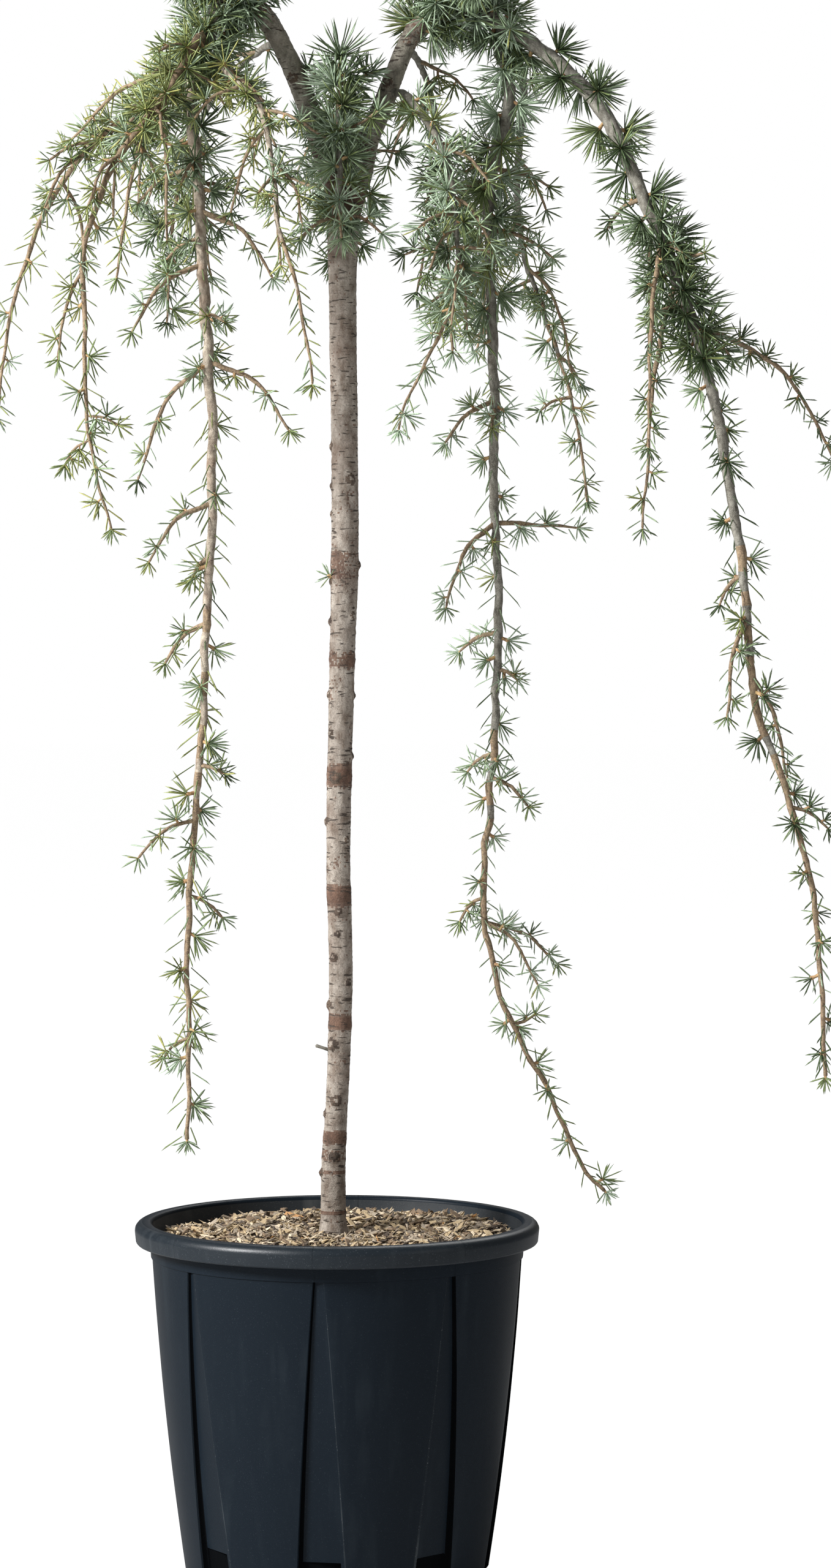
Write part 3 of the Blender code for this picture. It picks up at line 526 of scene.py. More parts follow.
def smooth_line(points, spacing):
    """A smooth curve through the points, cut into even steps of about the spacing."""
    points = [Vector(p) for p in points]
    ends = [2 * points[0] - points[1]] + points + [2 * points[-1] - points[-2]]
    fine = []
    for a, b, c, d in zip(ends, ends[1:], ends[2:], ends[3:]):
        knots = [0.0]
        for first, second in ((a, b), (b, c), (c, d)):
            knots.append(knots[-1] + math.sqrt((second - first).length))
        for k in range(FINE_STEPS):
            t = knots[1] + (knots[2] - knots[1]) * k / FINE_STEPS
            row = [a, b, c, d]
            for lows, highs in ((knots, knots[1:]), (knots, knots[2:]), (knots[1:], knots[2:])):
                row = [p.lerp(q, (t - low) / (high - low))
                       for p, q, low, high in zip(row, row[1:], lows, highs)]
            fine.append(row[0])
    fine.append(points[-1])
    return even_steps(fine, spacing)


def length_of(line):
    return sum((b - a).length for a, b in zip(line, line[1:]))


def even_steps(line, spacing):
    """The line again, cut into even steps of about the spacing."""
    along = [0.0]
    for a, b in zip(line, line[1:]):
        along.append(along[-1] + (b - a).length)
    count = max(2, round(along[-1] / spacing))
    made, k = [], 0
    for i in range(count + 1):
        want = along[-1] * i / count
        while k < len(line) - 2 and along[k + 1] < want:
            k += 1
        made.append(line[k].lerp(line[k + 1], (want - along[k]) / (along[k + 1] - along[k])))
    return made


def at_share(line, share):
    """The point and the heading at a share of an evenly stepped line."""
    where = share * (len(line) - 1)
    k = min(int(where), len(line) - 2)
    return line[k].lerp(line[k + 1], where - k), (line[k + 1] - line[k]).normalized()


def frames(points):
    """Headings along a line, and two directions across it that turn without twisting."""
    along = np.gradient(points, axis=0)
    along /= np.linalg.norm(along, axis=1)[:, None]
    side = np.cross(along[0], (0.31, 0.94, 0.12))
    sides = []
    for heading in along:
        side = side - heading * side.dot(heading)
        side = side / np.linalg.norm(side)
        sides.append(side)
    sides = np.array(sides)
    return along, sides, np.cross(along, sides)


def bark_surface():
    """Node group: grey bark with lengthwise mottling, level pores and brown patches."""
    group, given = new_group("bark_surface", {
        "Light": (0.2, 0.18, 0.14), "Dark": (0.1, 0.08, 0.06), "Patch": (0.1, 0.06, 0.04),
        "Patches": 0.5, "Pores": 1.0, "Streaks": 1.0, "Fineness": 1.0, "Roughness": 0.8})
    where = {0: surface_place(group), 3: given["Fineness"]}
    where = wire(group, "ShaderNodeVectorMath", where, operation="SCALE").outputs[0]
    mottle = clouds(group, stretched(group, where, (1, 1, 0.55)), 130.0, 5, 0.62)
    patches = clouds(group, where, 26.0, 4, 0.6)
    pores = clouds(group, stretched(group, where, (1, 1, 5.5)), 84.0, 2)
    grain = clouds(group, where, 620.0, 4, 0.7)
    streaks = maths(group, "MULTIPLY", ramp(group, mottle, ((0.36, 0.0), (0.66, 1.0))), given["Streaks"])
    patches = maths(group, "MULTIPLY", ramp(group, patches, ((0.5, 0.0), (0.68, 1.0))), given["Patches"])
    pores = maths(group, "MULTIPLY", ramp(group, pores, ((0.60, 0.0), (0.66, 1.0))), given["Pores"])
    colour = mix(group, streaks, given["Light"], given["Dark"])
    colour = mix(group, patches, colour, given["Patch"])
    colour = mix(group, pores, colour, (0.050, 0.036, 0.026, 1))
    colour = mix(group, 0.6, colour, ramp(group, grain, ((0.3, 0.55), (0.62, 1.15))), "MULTIPLY")
    return give_out(group, colour, given["Roughness"], maths(group, "MULTIPLY_ADD", pores, -0.7, grain))


BARK = bark_surface()


def bark_finish(name, light, dark, patch, patches, pores, streaks, bump, depth, rough, fineness=1.0):
    """A bark finish: its three colours, how strong each marking is, then its relief."""
    return finish(name, BARK, {
        "Light": light, "Dark": dark, "Patch": patch, "Patches": patches, "Pores": pores,
        "Streaks": streaks, "Fineness": fineness}, bump, depth, rough)


trunk_finishes = [
    bark_finish("bark_grey", (0.325, 0.285, 0.242), (0.130, 0.097, 0.072), (0.110, 0.064, 0.041),
                0.5, 1.0, 0.95, 0.8, 0.0014, 0.82),
    bark_finish("bark_grey_brown", (0.170, 0.108, 0.076), (0.060, 0.036, 0.025), (0.085, 0.042, 0.028),
                0.6, 0.95, 0.85, 0.8, 0.0014, 0.84),
    bark_finish("bark_brown", (0.140, 0.078, 0.051), (0.060, 0.033, 0.021), (0.080, 0.038, 0.023),
                0.6, 0.9, 0.9, 0.8, 0.0014, 0.85),
    bark_finish("bark_knot", (0.125, 0.088, 0.062), (0.040, 0.027, 0.020), (0.07, 0.042, 0.030),
                0.5, 0.6, 1.0, 1.0, 0.0016, 0.88),
]
CLEAN, BROWN, KNOT = 0, 2, 3  # places in the list above
KNOT_EDGE = 1.6  # a knot's swelling ends this many of its sizes away


def bark_limb(name, line, radii, ring, sides, knots, bands, rough, finishes):
    """A limb with bark relief: swollen and pitted by noise, with knots and brown bands.

    Knots are (share, angle, size); bands are (share, half width, strength), both along the limb.
    The finishes run from clean bark over two shades of brown to the knots."""
    steps = even_steps(line, ring)
    shares = np.linspace(0, 1, len(steps))
    thick = np.interp(shares, np.linspace(0, 1, len(radii)), radii)
    total = length_of(steps)
    spine = np.array(steps)
    _, side, across = frames(spine)
    angles = np.arange(sides) * math.tau / sides
    points, looks = [], np.zeros((len(steps), sides), int)
    for i, share in enumerate(shares):
        edge = noise.noise((0, 0, 160 * share * total)) * 0.35
        for k, a in enumerate(angles):
            out = side[i] * math.cos(a) + across[i] * math.sin(a)
            at = Vector(spine[i] + out * thick[i])
            r = thick[i] * (1 + 0.035 * noise.noise(at * 28))
            r += rough * (0.7 * noise.fractal(at * 210, 0.7, 2.0, 3) + edge)
            r += rough * 0.9 * noise.noise((at.x * 90, at.y * 90, at.z * 620))
            brown = 0.0
            for place, half, strength in bands:
                depth = 1 - abs(share - place) / half
                brown = max(brown, min(strength, 2.2 * depth))
                r += rough * 1.4 * max(0.0, depth)
            brown += 0.45 * noise.noise(at * 60) + 0.60 * noise.noise(at * 480)
            look = (brown > 0.42) + (brown > 0.78)
            for place, turn, size in knots:
                dx = (share - place) * total
                dy = math.remainder(a - turn, math.tau) * thick[i]
                away = math.hypot(dx, dy) / size
                if away < KNOT_EDGE:
                    r += size * 0.62 * math.exp(-3.0 * away ** 2) - size * 0.30 * math.exp(-16 * away ** 2)
                    if 0.25 < away + 0.3 * noise.noise(at * 300) < 0.80:
                        look = KNOT
            looks[i, k] = look
            points.append(spine[i] + out * r)
    foot = len(points)
    ends = fan(foot, 0, sides, -1) + fan(foot + 1, foot - sides, sides)
    points += [spine[0], spine[-1]]
    faces = [(grid_faces(len(steps), sides), looks[:-1].ravel()), (ends, CLEAN)]
    made = mesh_of(name, points, faces, finishes)
    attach(made, "root")
    return made


MM = 1000  # millimetres in a metre: the wood's routes and sizes are given in millimetres
TRUNK = (  # height, place to the right and radius
    (295, -3.3, 15.0), (315.3, -3.3, 13.6), (325, -3.4, 11.6), (378, -3.3, 11.0), (434, -0.2, 10.1),
    (547, 3.5, 10.9), (659, 1.2, 11.0), (827, 4.6, 11.5), (940, 7.4, 12.7), (1024, 7.2, 12.0),
    (1192, 5.3, 12.7), (1245, 6.2, 15.0), (1272, 8.0, 19.5), (1290, 8.5, 16.0), (1300, 8.5, 6.0),
)
heights, _, thickness = [[value / MM for value in column] for column in zip(*TRUNK)]
trunk_line = smooth_line([(x / MM, 0, z / MM) for z, x, _ in TRUNK], BARK_STEP)
trunk_radii = np.interp([p.z for p in trunk_line], heights, thickness)


def up_trunk(height):
    """The share of the trunk's length at a height in millimetres."""
    return (height / MM - heights[0]) / (heights[-1] - heights[0])


# Angles round the stem: 0.3 is its left edge, 1.9 the front, 3.4 the right edge
trunk_knots = [
    (up_trunk(z), turn, size / MM) for z, turn, size in (
        (1035, 0.45, 5.0), (1003.7, 2.28, 6.5), (999, 0.45, 4.5), (973.4, 0.40, 4.0), (927, 3.35, 5.0),
        (911.6, 0.50, 4.5), (880, 2.68, 5.0), (875, 0.40, 5.5), (807.7, 0.42, 5.0), (807.7, 3.38, 4.2),
        (772.6, 0.93, 4.4), (752, 3.35, 4.2), (731.9, 1.56, 7.0), (691.5, 0.42, 5.2), (674.6, 2.62, 4.4),
        (609, 1.77, 4.8), (588.7, 1.63, 3.8), (566.9, 1.24, 5.4), (544.4, 2.59, 4.6), (523, 0.42, 6.2),
        (486.5, 1.24, 7.8), (434.9, 1.79, 6.4), (422.6, 0.45, 5.0), (384.3, 1.89, 5.6), (368.6, 0.50, 5.0),
        (1110, 4.40, 5.0), (930, 5.20, 5.0), (760, 4.70, 4.6), (600, 5.40, 5.2), (470, 4.30, 5.0))]
trunk_bands = [(up_trunk(z), half, strength) for z, half, strength in (
    (840, 0.009, 0.62), (733, 0.0135, 1.0), (624, 0.0120, 1.0), (506.7, 0.0090, 1.1), (401.2, 0.0085, 1.0),
    (384.3, 0.006, 0.60), (368.6, 0.0025, 0.80), (332.1, 0.0020, 0.90), (926, 0.014, 0.50),
    (1262, 0.030, 0.90))]
trunk = bark_limb("trunk_bark", trunk_line, trunk_radii, ring=0.0017, sides=68, knots=trunk_knots,
                  bands=trunk_bands, rough=0.00034, finishes=trunk_finishes)
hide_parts("trunk")


# Boughs
# The two limbs of the weeping graft: each leaves the union at the head of the trunk, rises
# and arches over. Older, rougher bark than the trunk's, streaked dark and set with level pores.

SQUARE_END = 0.0020
GAP = 0.0003
BOUGHS = {  # the route, its radii at the union and past the arch, and the share where it splits
    "bough_left": (
        ((-3.5, 0, 1280.3), (-12, -2, 1306), (-26, -8, 1344), (-43, -15, 1385), (-66, -22, 1425),
         (-86, -27, 1443), (-104, -34, 1432), (-113, -42, 1408), (-126, -52, 1372)), 10.0, 6.4, 0.62),
    "bough_right": (
        ((20.5, 1, 1280.3), (28, 2, 1312), (42, 6, 1346), (52, 8, 1373), (66, 12, 1406),
         (82, 14, 1426), (109, 15, 1435), (143, 14, 1426), (175, 10, 1406)), 9.5, 6.8, 0.58),
}
STEM_STEP, BOUGH_STEP = 0.048, 0.015  # the lines that the masses stand on have these steps
STEM_RADIUS, BOUGH_RADIUS, CREST_RADIUS = 0.016, 0.0085, 0.0068  # how far off them stems start
IN_UNION = (0.0105, 0.0112)  # a limb's radii inside the graft union
BOUGH_KNOTS = ((0.62, -0.6, 0.0085), (0.44, 1.4, 0.0060), (0.30, -1.8, 0.0055), (0.80, 2.0, 0.0050))
BOUGH_BANDS = ((0.62, 0.07, 0.55), (0.22, 0.05, 0.6))
ROOT_SWELL, TIP_SWELL = (1.04, 0.95, 0.88, 0.80), (1.02, 0.96)


def metres(places):
    """Places given in millimetres, as vectors in metres."""
    return [Vector([value / MM for value in place]) for place in places]


stem_route = [(x, 0, z) for z, x, _ in TRUNK[1:12]] + [(8, 0, 1280)]
limb_lines = {"trunk": smooth_line(metres(stem_route), STEM_STEP)}
limb_radius = {"trunk": STEM_RADIUS}
bough_finishes = [
    bark_finish("bough_bark_grey", (0.290, 0.265, 0.215), (0.105, 0.094, 0.072), (0.130, 0.100, 0.070),
                0.55, 1.0, 0.9, 0.9, 0.0016, 0.85),
    bark_finish("bough_bark_grey_brown", (0.225, 0.200, 0.162), (0.085, 0.070, 0.054),
                (0.110, 0.080, 0.058), 0.6, 1.0, 0.9, 0.9, 0.0016, 0.86),
] + trunk_finishes[BROWN:]
for name, (route, root, tip, split_at) in BOUGHS.items():
    route = metres(route)
    line = smooth_line(route, BOUGH_STEP)
    line.insert(1, line[0] + Vector((0, 0, SQUARE_END)))
    split = round(split_at * (len(line) - 1))
    along = (line[split + 1] - line[split - 1]).normalized()
    cut, crest = line[split], name + "_crest"
    limb_lines[name] = line[:split] + [cut, cut + along * SQUARE_END]
    limb_lines[crest] = [cut + along * (SQUARE_END + GAP), cut + along * (2 * SQUARE_END + GAP)]
    limb_lines[crest] += line[split + 1:]
    limb_radius[name], limb_radius[crest] = BOUGH_RADIUS, CREST_RADIUS
    whole = smooth_line(((0.006, 0, 1.236), (0.4 * route[0].x + 0.004, 0, 1.262), *route), BARK_STEP)
    radii = list(IN_UNION)
    for size, swells in ((root, ROOT_SWELL), (tip, TIP_SWELL)):
        radii += [size / MM * swell for swell in swells]
    bough = bark_limb(name + "_bark", whole, radii, ring=0.0020, sides=40, knots=BOUGH_KNOTS,
                      bands=BOUGH_BANDS, rough=0.00046, finishes=bough_finishes)
    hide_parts(name, crest)


# Foliage
# Hanging masses of cedar: each is one woody stem with side shoots and thin twigs, set with
# short woody spurs that end in a rosette of stiff needles, and with single needles on the
# youngest wood. Waxy blue green where the light falls, yellower on the left-hand twigs.

GOLDEN_ANGLE = math.radians(137.5)
LINE_STEP = 0.012
TWIG_ROOT, TWIG_TIP = 0.0019, 0.0011
SHOOT_ROOT = 0.0026  # the thickest side shoot
SHOOT_SHARE = 0.7
LEAD = 0.016
DROOP = (0.58, 0.30)  # how far out and down a shoot's middle lies, as shares of its tip
YOUNG = 0.62  # past this share of a stem its bark is brown and young
STOUT = 0.0028  # stouter wood is cut into longer steps
WAVER = 0.0022
WAVER_SHIFTS = ((9.3, -1.5, -8.0), (0, 0, 0), (6.3, 0.2, -2.7))
NEEDLE_WIDTH = 0.00165
SINGLE_LEAN = (30, 62)  # degrees off the wood
WHORL = (10, 78)  # degrees off a spur, from a whorl's middle to its edge
STEM_SIDES, SHOOT_SIDES, SPUR_SIDES = 12, 7, 6
CROWN_REACH = 0.007


def leaf_surface():
    """Node group: a needle's colour, clouded and paler where its wax shows."""
    group, given = new_group("leaf_surface", {
        "Colour": (0.1, 0.2, 0.15), "Wax": (0.3, 0.4, 0.38), "Bloom": 0.3})
    where = surface_place(group)
    fine = clouds(group, where, 260.0, 3)
    bloom = maths(group, "MULTIPLY", ramp(group, fine, ((0.38, 0.0), (0.68, 1.0))), given["Bloom"])
    shade = ramp(group, clouds(group, where, 38.0, 2), ((0.32, 0.68), (0.68, 1.2)))
    colour = mix(group, 1.0, mix(group, bloom, given["Colour"], given["Wax"]), shade, "MULTIPLY")
    return give_out(group, colour, maths(group, "MULTIPLY_ADD", bloom, 0.25, 0.48), fine)


LEAF = leaf_surface()
needle_finishes = [
    finish(name, LEAF, {"Colour": colour, "Wax": wax, "Bloom": bloom}, 0.1, 0.0002, None, 0.35)
    for name, colour, wax, bloom in (
        ("needle_blue", (0.235, 0.315, 0.205), (0.52, 0.60, 0.48), 0.55),
        ("needle_blue_green", (0.135, 0.190, 0.096), (0.35, 0.42, 0.30), 0.45),
        ("needle_deep", (0.048, 0.076, 0.029), (0.19, 0.25, 0.14), 0.35),
        ("needle_green", (0.115, 0.156, 0.052), (0.29, 0.34, 0.18), 0.3),
        ("needle_olive", (0.165, 0.190, 0.055), (0.33, 0.36, 0.17), 0.3),
        ("needle_yellow", (0.280, 0.280, 0.080), (0.42, 0.43, 0.20), 0.2),
    )]
twig_finishes = [
    bark_finish("stem_bark_grey", (0.255, 0.242, 0.205), (0.090, 0.082, 0.064), (0.110, 0.090, 0.066),
                0.5, 0.3, 1.0, 0.8, 0.0010, 0.85, 1.8),
    bark_finish("stem_bark_tan", (0.400, 0.345, 0.270), (0.150, 0.115, 0.085), (0.20, 0.125, 0.080),
                0.6, 0.25, 1.0, 0.7, 0.0008, 0.82, 1.8),
    bark_finish("twig_bark_brown", (0.300, 0.215, 0.130), (0.120, 0.078, 0.048), (0.13, 0.11, 0.055),
                0.5, 0.5, 1.0, 0.6, 0.0006, 0.82, 3.2),
    bark_finish("bud_scales", (0.440, 0.270, 0.120), (0.190, 0.098, 0.045), (0.38, 0.30, 0.12),
                0.7, 0.2, 1.0, 0.5, 0.0004, 0.7, 3.0),
]
GREY, TAN, TWIG, BUD = range(4)


def waver(place):
    """A smooth offset of up to about one unit, from three noises far apart."""
    return Vector([noise.noise(place + Vector(shift)) for shift in WAVER_SHIFTS])


def drooping(start, offset):
    """A shoot that sets out sideways and then hangs to its tip."""
    sideways, down = DROOP
    middle = start + Vector((sideways * offset.x, sideways * offset.y, down * offset.z))
    return smooth_line((start, middle, start + offset), LINE_STEP)


def stem_line(limb, at, route):
    """A mass's own stem, from the surface of the limb that bears it, and its hidden root."""
    seat, along = at_share(limb_lines[limb], at)
    first = Vector(route[0])
    if at == 1.0:
        out, start = along, seat + along * GAP
        hidden = [seat - along * 0.012, seat - along * 0.005]
    else:
        out = first - seat
        out -= out.dot(along) * along
        out.normalize()
        start = seat + out * limb_radius[limb]
        hidden = [seat]
    lead = min(LEAD, 0.4 * (first - start).length)
    line = smooth_line((start, start + out * lead, *route), LINE_STEP)
    line.insert(1, start + out * SQUARE_END)
    return hidden, line


class Mass:
    """One mass of foliage while it grows: wood and needles gathered to be joined."""

    def __init__(self, name, tints):
        self.name = name
        self.draw = random.Random(name + " foliage")
        self.rng = np.random.default_rng(self.draw.randrange(10 ** 6))
        self.tints = tints
        self.points, self.faces, self.count = [], [], 0
        self.needles = []

    def tube(self, line, radii, sides, look):
        """A round stretch of wood with a domed end."""
        spine = np.array([tuple(p) for p in line])
        along, side, across = frames(spine)
        angles = (np.arange(sides) * math.tau / sides)[:, None]
        ring = side[:, None] * np.cos(angles) + across[:, None] * np.sin(angles)
        rough = 1 + 0.07 * self.rng.standard_normal((len(spine), sides))
        points = spine[:, None] + ring * (np.asarray(radii)[:, None] * rough)[..., None]
        tip = spine[-1] + along[-1] * radii[-1] * 0.8
        self.points.append(np.concatenate([points.reshape(-1, 3), tip[None]]))
        self.faces.append((grid_faces(len(spine), sides, start=self.count), look))
        end = self.count + len(spine) * sides
        self.faces.append((fan(end, end - sides, sides), np.ravel(look)[-1]))
        self.count = end + 1

    def wood(self, line, root, tip, sides, look, hidden=(), young=None):
        """A stem or twig: a little crooked, swollen at its joints, tapering to its tip.

        Past the share called young, a stem's bark turns into a twig's."""
        fine = even_steps(line, 0.006 if root > STOUT else 0.004)
        n = len(fine)
        sway = [WAVER * min(1, i / 4) * (0.3 + tip / 0.0016) for i in range(n)]
        bent = [p + waver(p * 34) * reach for p, reach in zip(fine, sway)]
        radii = [root * 0.98] * len(hidden)
        for i, p in enumerate(bent):
            lumps = 1 + 0.10 * noise.noise(p * 120) + 0.08 * (i % 4 == 0)
            radii.append((root + (tip - root) * i / (n - 1)) * lumps)
        whole = list(hidden) + bent
        if young is not None:
            ages = [(i + 0.25 * n * noise.noise(p * 70)) / n for i, p in enumerate(whole[1:])]
            look = np.repeat([TWIG if age > young else look for age in ages], sides)
        self.tube(whole, radii, sides, look)
        return bent

    def needle(self, base, heading, length, tint, curve):
        self.needles.append((*base, *heading, length, *curve, tint))

    def pick(self):
        return self.draw.choices(range(6), self.tints)[0]

    def rosette(self, centre, axis, count, length, tint):
        """A whorl of needles that spreads from the end of a spur."""
        axis = np.array(axis / axis.length)
        side = np.cross(axis, (0.2, 0.3, 0.93))
        side /= np.linalg.norm(side)
        across = np.cross(axis, side)
        phase = self.draw.uniform(0, math.tau)
        for i in range(count):
            spread = WHORL[0] + (WHORL[1] - WHORL[0]) * ((i + 0.5) / count) ** 0.62
            open_by = math.radians(spread) + self.draw.gauss(0, 0.10)
            turn = phase + i * GOLDEN_ANGLE + self.draw.gauss(0, 0.15)
            out = side * math.cos(turn) + across * math.sin(turn)
            heading = axis * math.cos(open_by) + out * math.sin(open_by)
            heading[2] -= 0.06
            size = length * self.draw.uniform(0.80, 1.08)
            own = tint if self.draw.random() < 0.72 else self.pick()
            base = np.array(centre) + heading * 0.0006 - axis * 0.0012 * (i / count)
            self.needle(base, heading / np.linalg.norm(heading), size, own, out * 0.035 * size)

    def spur(self, point, out, radius, reach, count, length):
        """A short woody spur with scaly bark, and the rosette at its end."""
        out = out.normalized()
        start = point + out * radius * 0.3
        end = point + out * (radius + reach)
        thick = min(0.0019, radius * 0.8)
        radii = [thick, thick * 0.85, thick * 1.15, thick * 0.7]
        self.tube([start, start.lerp(end, 0.6), end, end + out * 0.0012], radii, SPUR_SIDES, BUD)
        self.rosette(end, out, count, length, self.pick())

    def spiral(self, line, turn, first, last, count, margin, limit=1.0):
        """Places in a spiral along a stretch of a line: share, point, heading, way out."""
        for i in range(count):
            step = (i + self.draw.uniform(margin, 1 - margin)) / count
            share = min(limit, first + (last - first) * step)
            point, heading = at_share(line, share)
            turn += GOLDEN_ANGLE
            side = heading.cross(Vector((0.3, 0.9, 0.31))).normalized()
            yield share, point, heading, side * math.cos(turn) + heading.cross(side) * math.sin(turn)

    def singles(self, line, radius, first, last, spacing, length):
        """Needles set one by one in a spiral along young wood, leaning to its tip."""
        count = int(length_of(line) * (last - first) / spacing)
        turn = self.draw.uniform(0, math.tau)
        tint = self.pick()
        for _, point, heading, out in self.spiral(line, turn, first, last, count, 0.1):
            lean = math.radians(self.draw.uniform(*SINGLE_LEAN))
            way = heading * math.cos(lean) + out * math.sin(lean)
            if self.draw.random() < 0.12:
                tint = self.pick()
            size = length * self.draw.uniform(0.72, 1.1)
            self.needle(point + out * radius * 0.8, way, size, tint, out * 0.05 * size)

    def rosettes(self, line, root, tip, first, last, spacing, count, length, reach=0.005):
        """Spurs with rosettes along a stretch of a stem or shoot, turning round it."""
        number = max(1, int(length_of(line) * (last - first) / spacing))
        turn = self.draw.uniform(0, math.tau)
        for share, point, heading, out in self.spiral(line, turn, first, last, number, 0.2, 0.995):
            radius = root + (tip - root) * share
            own = max(6, round(count * self.draw.uniform(0.75, 1.2)))
            far = reach * self.draw.uniform(0.6, 1.5)
            self.spur(point, out + heading * 0.35, radius, far, own, length * self.draw.uniform(0.85, 1.1))

    def end_tuft(self, line, tip, count, length):
        self.spur(line[-1], line[-1] - line[-2], tip, 0.001, count, length)

    def shoot(self, line, root, tip, look, leaf):
        """A side shoot or twig in full leaf: small rosettes, singles and an end tuft."""
        bent = self.wood(line, root, tip, SHOOT_SIDES, look)
        spacing, count, length, singles = leaf
        self.rosettes(bent, root, tip, 0.05, 0.45, spacing * 0.9, count * 1.35, length * 1.15, 0.0035)
        self.rosettes(bent, root, tip, 0.45, 0.97, spacing, count, length, 0.0025)
        self.singles(bent, root, 0.06, 1.0, singles, length * 0.92)
        self.end_tuft(bent, tip, max(10, int(count * 1.1)), length * 0.9)

    def join(self):
        """Joins the wood and the needles, each into one piece, in place of the solid."""
        wood = mesh_of(self.name + "_wood", np.concatenate(self.points), self.faces, twig_finishes)
        grown = np.array(self.needles)
        base, heading, length, curve = grown[:, 0:3], grown[:, 3:6], grown[:, 6:7], grown[:, 7:10]
        side = np.cross(heading, (0.21, 0.37, 0.9))
        side /= np.linalg.norm(side, axis=1)[:, None]
        across = np.cross(heading, side)
        turn = self.rng.uniform(0, math.tau, len(grown))[:, None]
        side, across = (side * np.cos(turn) + across * np.sin(turn),
                        across * np.cos(turn) - side * np.sin(turn))
        wide = NEEDLE_WIDTH / 2 * (0.8 + 0.4 * self.rng.random(len(grown)))[:, None]
        points = []
        for place, bow, share in ((0.0, 0.0, 0.75), (0.72, 1.0, 1.0)):
            for a in (0, math.tau / 3, 2 * math.tau / 3):
                spread = (side * math.cos(a) + across * math.sin(a)) * wide * share
                points.append(base + heading * length * place + curve * bow + spread)
        points.append(base + heading * length + curve * 0.35)
        points = np.stack(points, 1).reshape(-1, 3)
        first = 7 * np.arange(len(grown))[:, None, None]
        quads = first + np.array([(0, 1, 4, 3), (1, 2, 5, 4), (2, 0, 3, 5)])
        tips = first + np.array([(3, 4, 6), (4, 5, 6), (5, 3, 6)])
        tint = np.repeat(grown[:, 10].astype(int), 3)
        faces = [(quads.reshape(-1, 4), tint), (tips.reshape(-1, 3), tint)]
        leaves = mesh_of(self.name + "_needles", points, faces, needle_finishes)
        for piece, slot in ((wood, "grey_bark"), (leaves, "needles")):
            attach(piece, "root")
            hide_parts(self.name)


# How often each of the six needle colours is drawn, in the order of needle_finishes
BLUE = (5, 5, 1.9, 2, 0.7, 0.1)
# PALE_PAINTED_LIGHT and FORK_PAINTED_LIGHT draw mostly the palest needles: painted light for leader_right,
# which hangs in the shade of the front sprays, and for the fork tuft in the shade of the boughs;
# PALE_PAINTED_LIGHT also gives spray_right_front its bluer olive
PALE_PAINTED_LIGHT = (7, 4.5, 0.5, 2.5, 1.2, 0.3)
FORK_PAINTED_LIGHT = (5, 5, 1.2, 2, 0.3, 0)
DEEP = (1, 4, 5, 3, 0.6, 0.1)
ARCH = (0.5, 2.8, 7, 3, 0.3, 0)
GREEN = (2, 4, 2, 4, 2, 0.5)
OLIVE = (1.2, 2.5, 1, 4, 4, 1.5)

# What both tufts on the crests bear, and both sprays behind
CREST = {"bands": ((0.1, 1.0, 9, 40, 33),), "twigs": (4, 0.1, 0.95, 26),
         "singles": ((0.3, 1.0, 6, 25),), "leaf": (12, 30, 30, 6)}
BEHIND = {"bands": ((0.05, 0.5, 45, 18, 22), (0.5, 1.0, 19, 24, 26)), "twigs": (5, 0.55, 0.9, 42),
          "singles": ((0.5, 1.0, 5, 22),), "leaf": (26, 12, 21, 5.5)}


def grow(name, limb, at, root, tip, tints, route, shoots, twigs, bands, singles, leaf,
         look=(GREY, TWIG), crown=()):
    """Grows one mass: its stem, its side shoots, then its twigs by the seeded rule.

    Places and sizes are in millimetres. Shoots are (share, offset of the tip), twigs (count,
    first share, last share, length), bands of rosettes on the stem (first, last, spacing,
    needles, length), singles (first, last, spacing, length), leaf what a shoot bears
    (spacing, needles, length, spacing of single needles), look the bark of stem and shoots,
    crown what the bearing limbs carry (limb, first, last, spacing, needles, length)."""
    mass = Mass(name, tints)
    root, tip = root / MM, tip / MM
    hidden, line = stem_line(limb, at, metres(route))
    bent = mass.wood(line, root, tip, STEM_SIDES, look[0], hidden, YOUNG)
    for first, last, spacing, count, length in bands:
        mass.rosettes(bent, root, tip, first, last, spacing / MM, count, length / MM)
    for first, last, spacing, length in singles:
        mass.singles(bent, root * (1 - first), first, last, spacing / MM, length / MM)
    mass.end_tuft(bent, tip, 14, 0.014)
    for bearer, first, last, spacing, count, length in crown:
        thick = limb_radius[bearer] * 0.9
        mass.rosettes(limb_lines[bearer], thick, thick, first, last, spacing / MM, count, length / MM,
                      CROWN_REACH)
    leaf = (leaf[0] / MM, leaf[1], leaf[2] / MM, leaf[3] / MM)
    for share, *offset in shoots:
        start, _ = at_share(line, share)
        thick = min(SHOOT_SHARE * (root + (tip - root) * share), SHOOT_ROOT)
        mass.shoot(drooping(start, *metres([offset])), thick, TWIG_TIP, look[1], leaf)
    count, first, last, length = twigs
    draw = random.Random(name)
    turn = draw.uniform(0, math.tau)
    for i in range(count):
        share = first + (last - first) * (i + draw.uniform(0.1, 0.9)) / count
        turn += GOLDEN_ANGLE
        reach = length / MM * draw.uniform(0.7, 1.2)
        start, _ = at_share(line, share)
        out = Vector((math.cos(turn), math.sin(turn), draw.uniform(-0.75, -0.15)))
        mass.shoot(drooping(start, out * reach), TWIG_ROOT, TWIG_TIP, look[1], leaf)
    mass.join()


# Spurs on the trunk
# Two leftovers of pruned shoots on the stem: half way up a short spur that still bears a few
# needles, and lower down a bare stub.

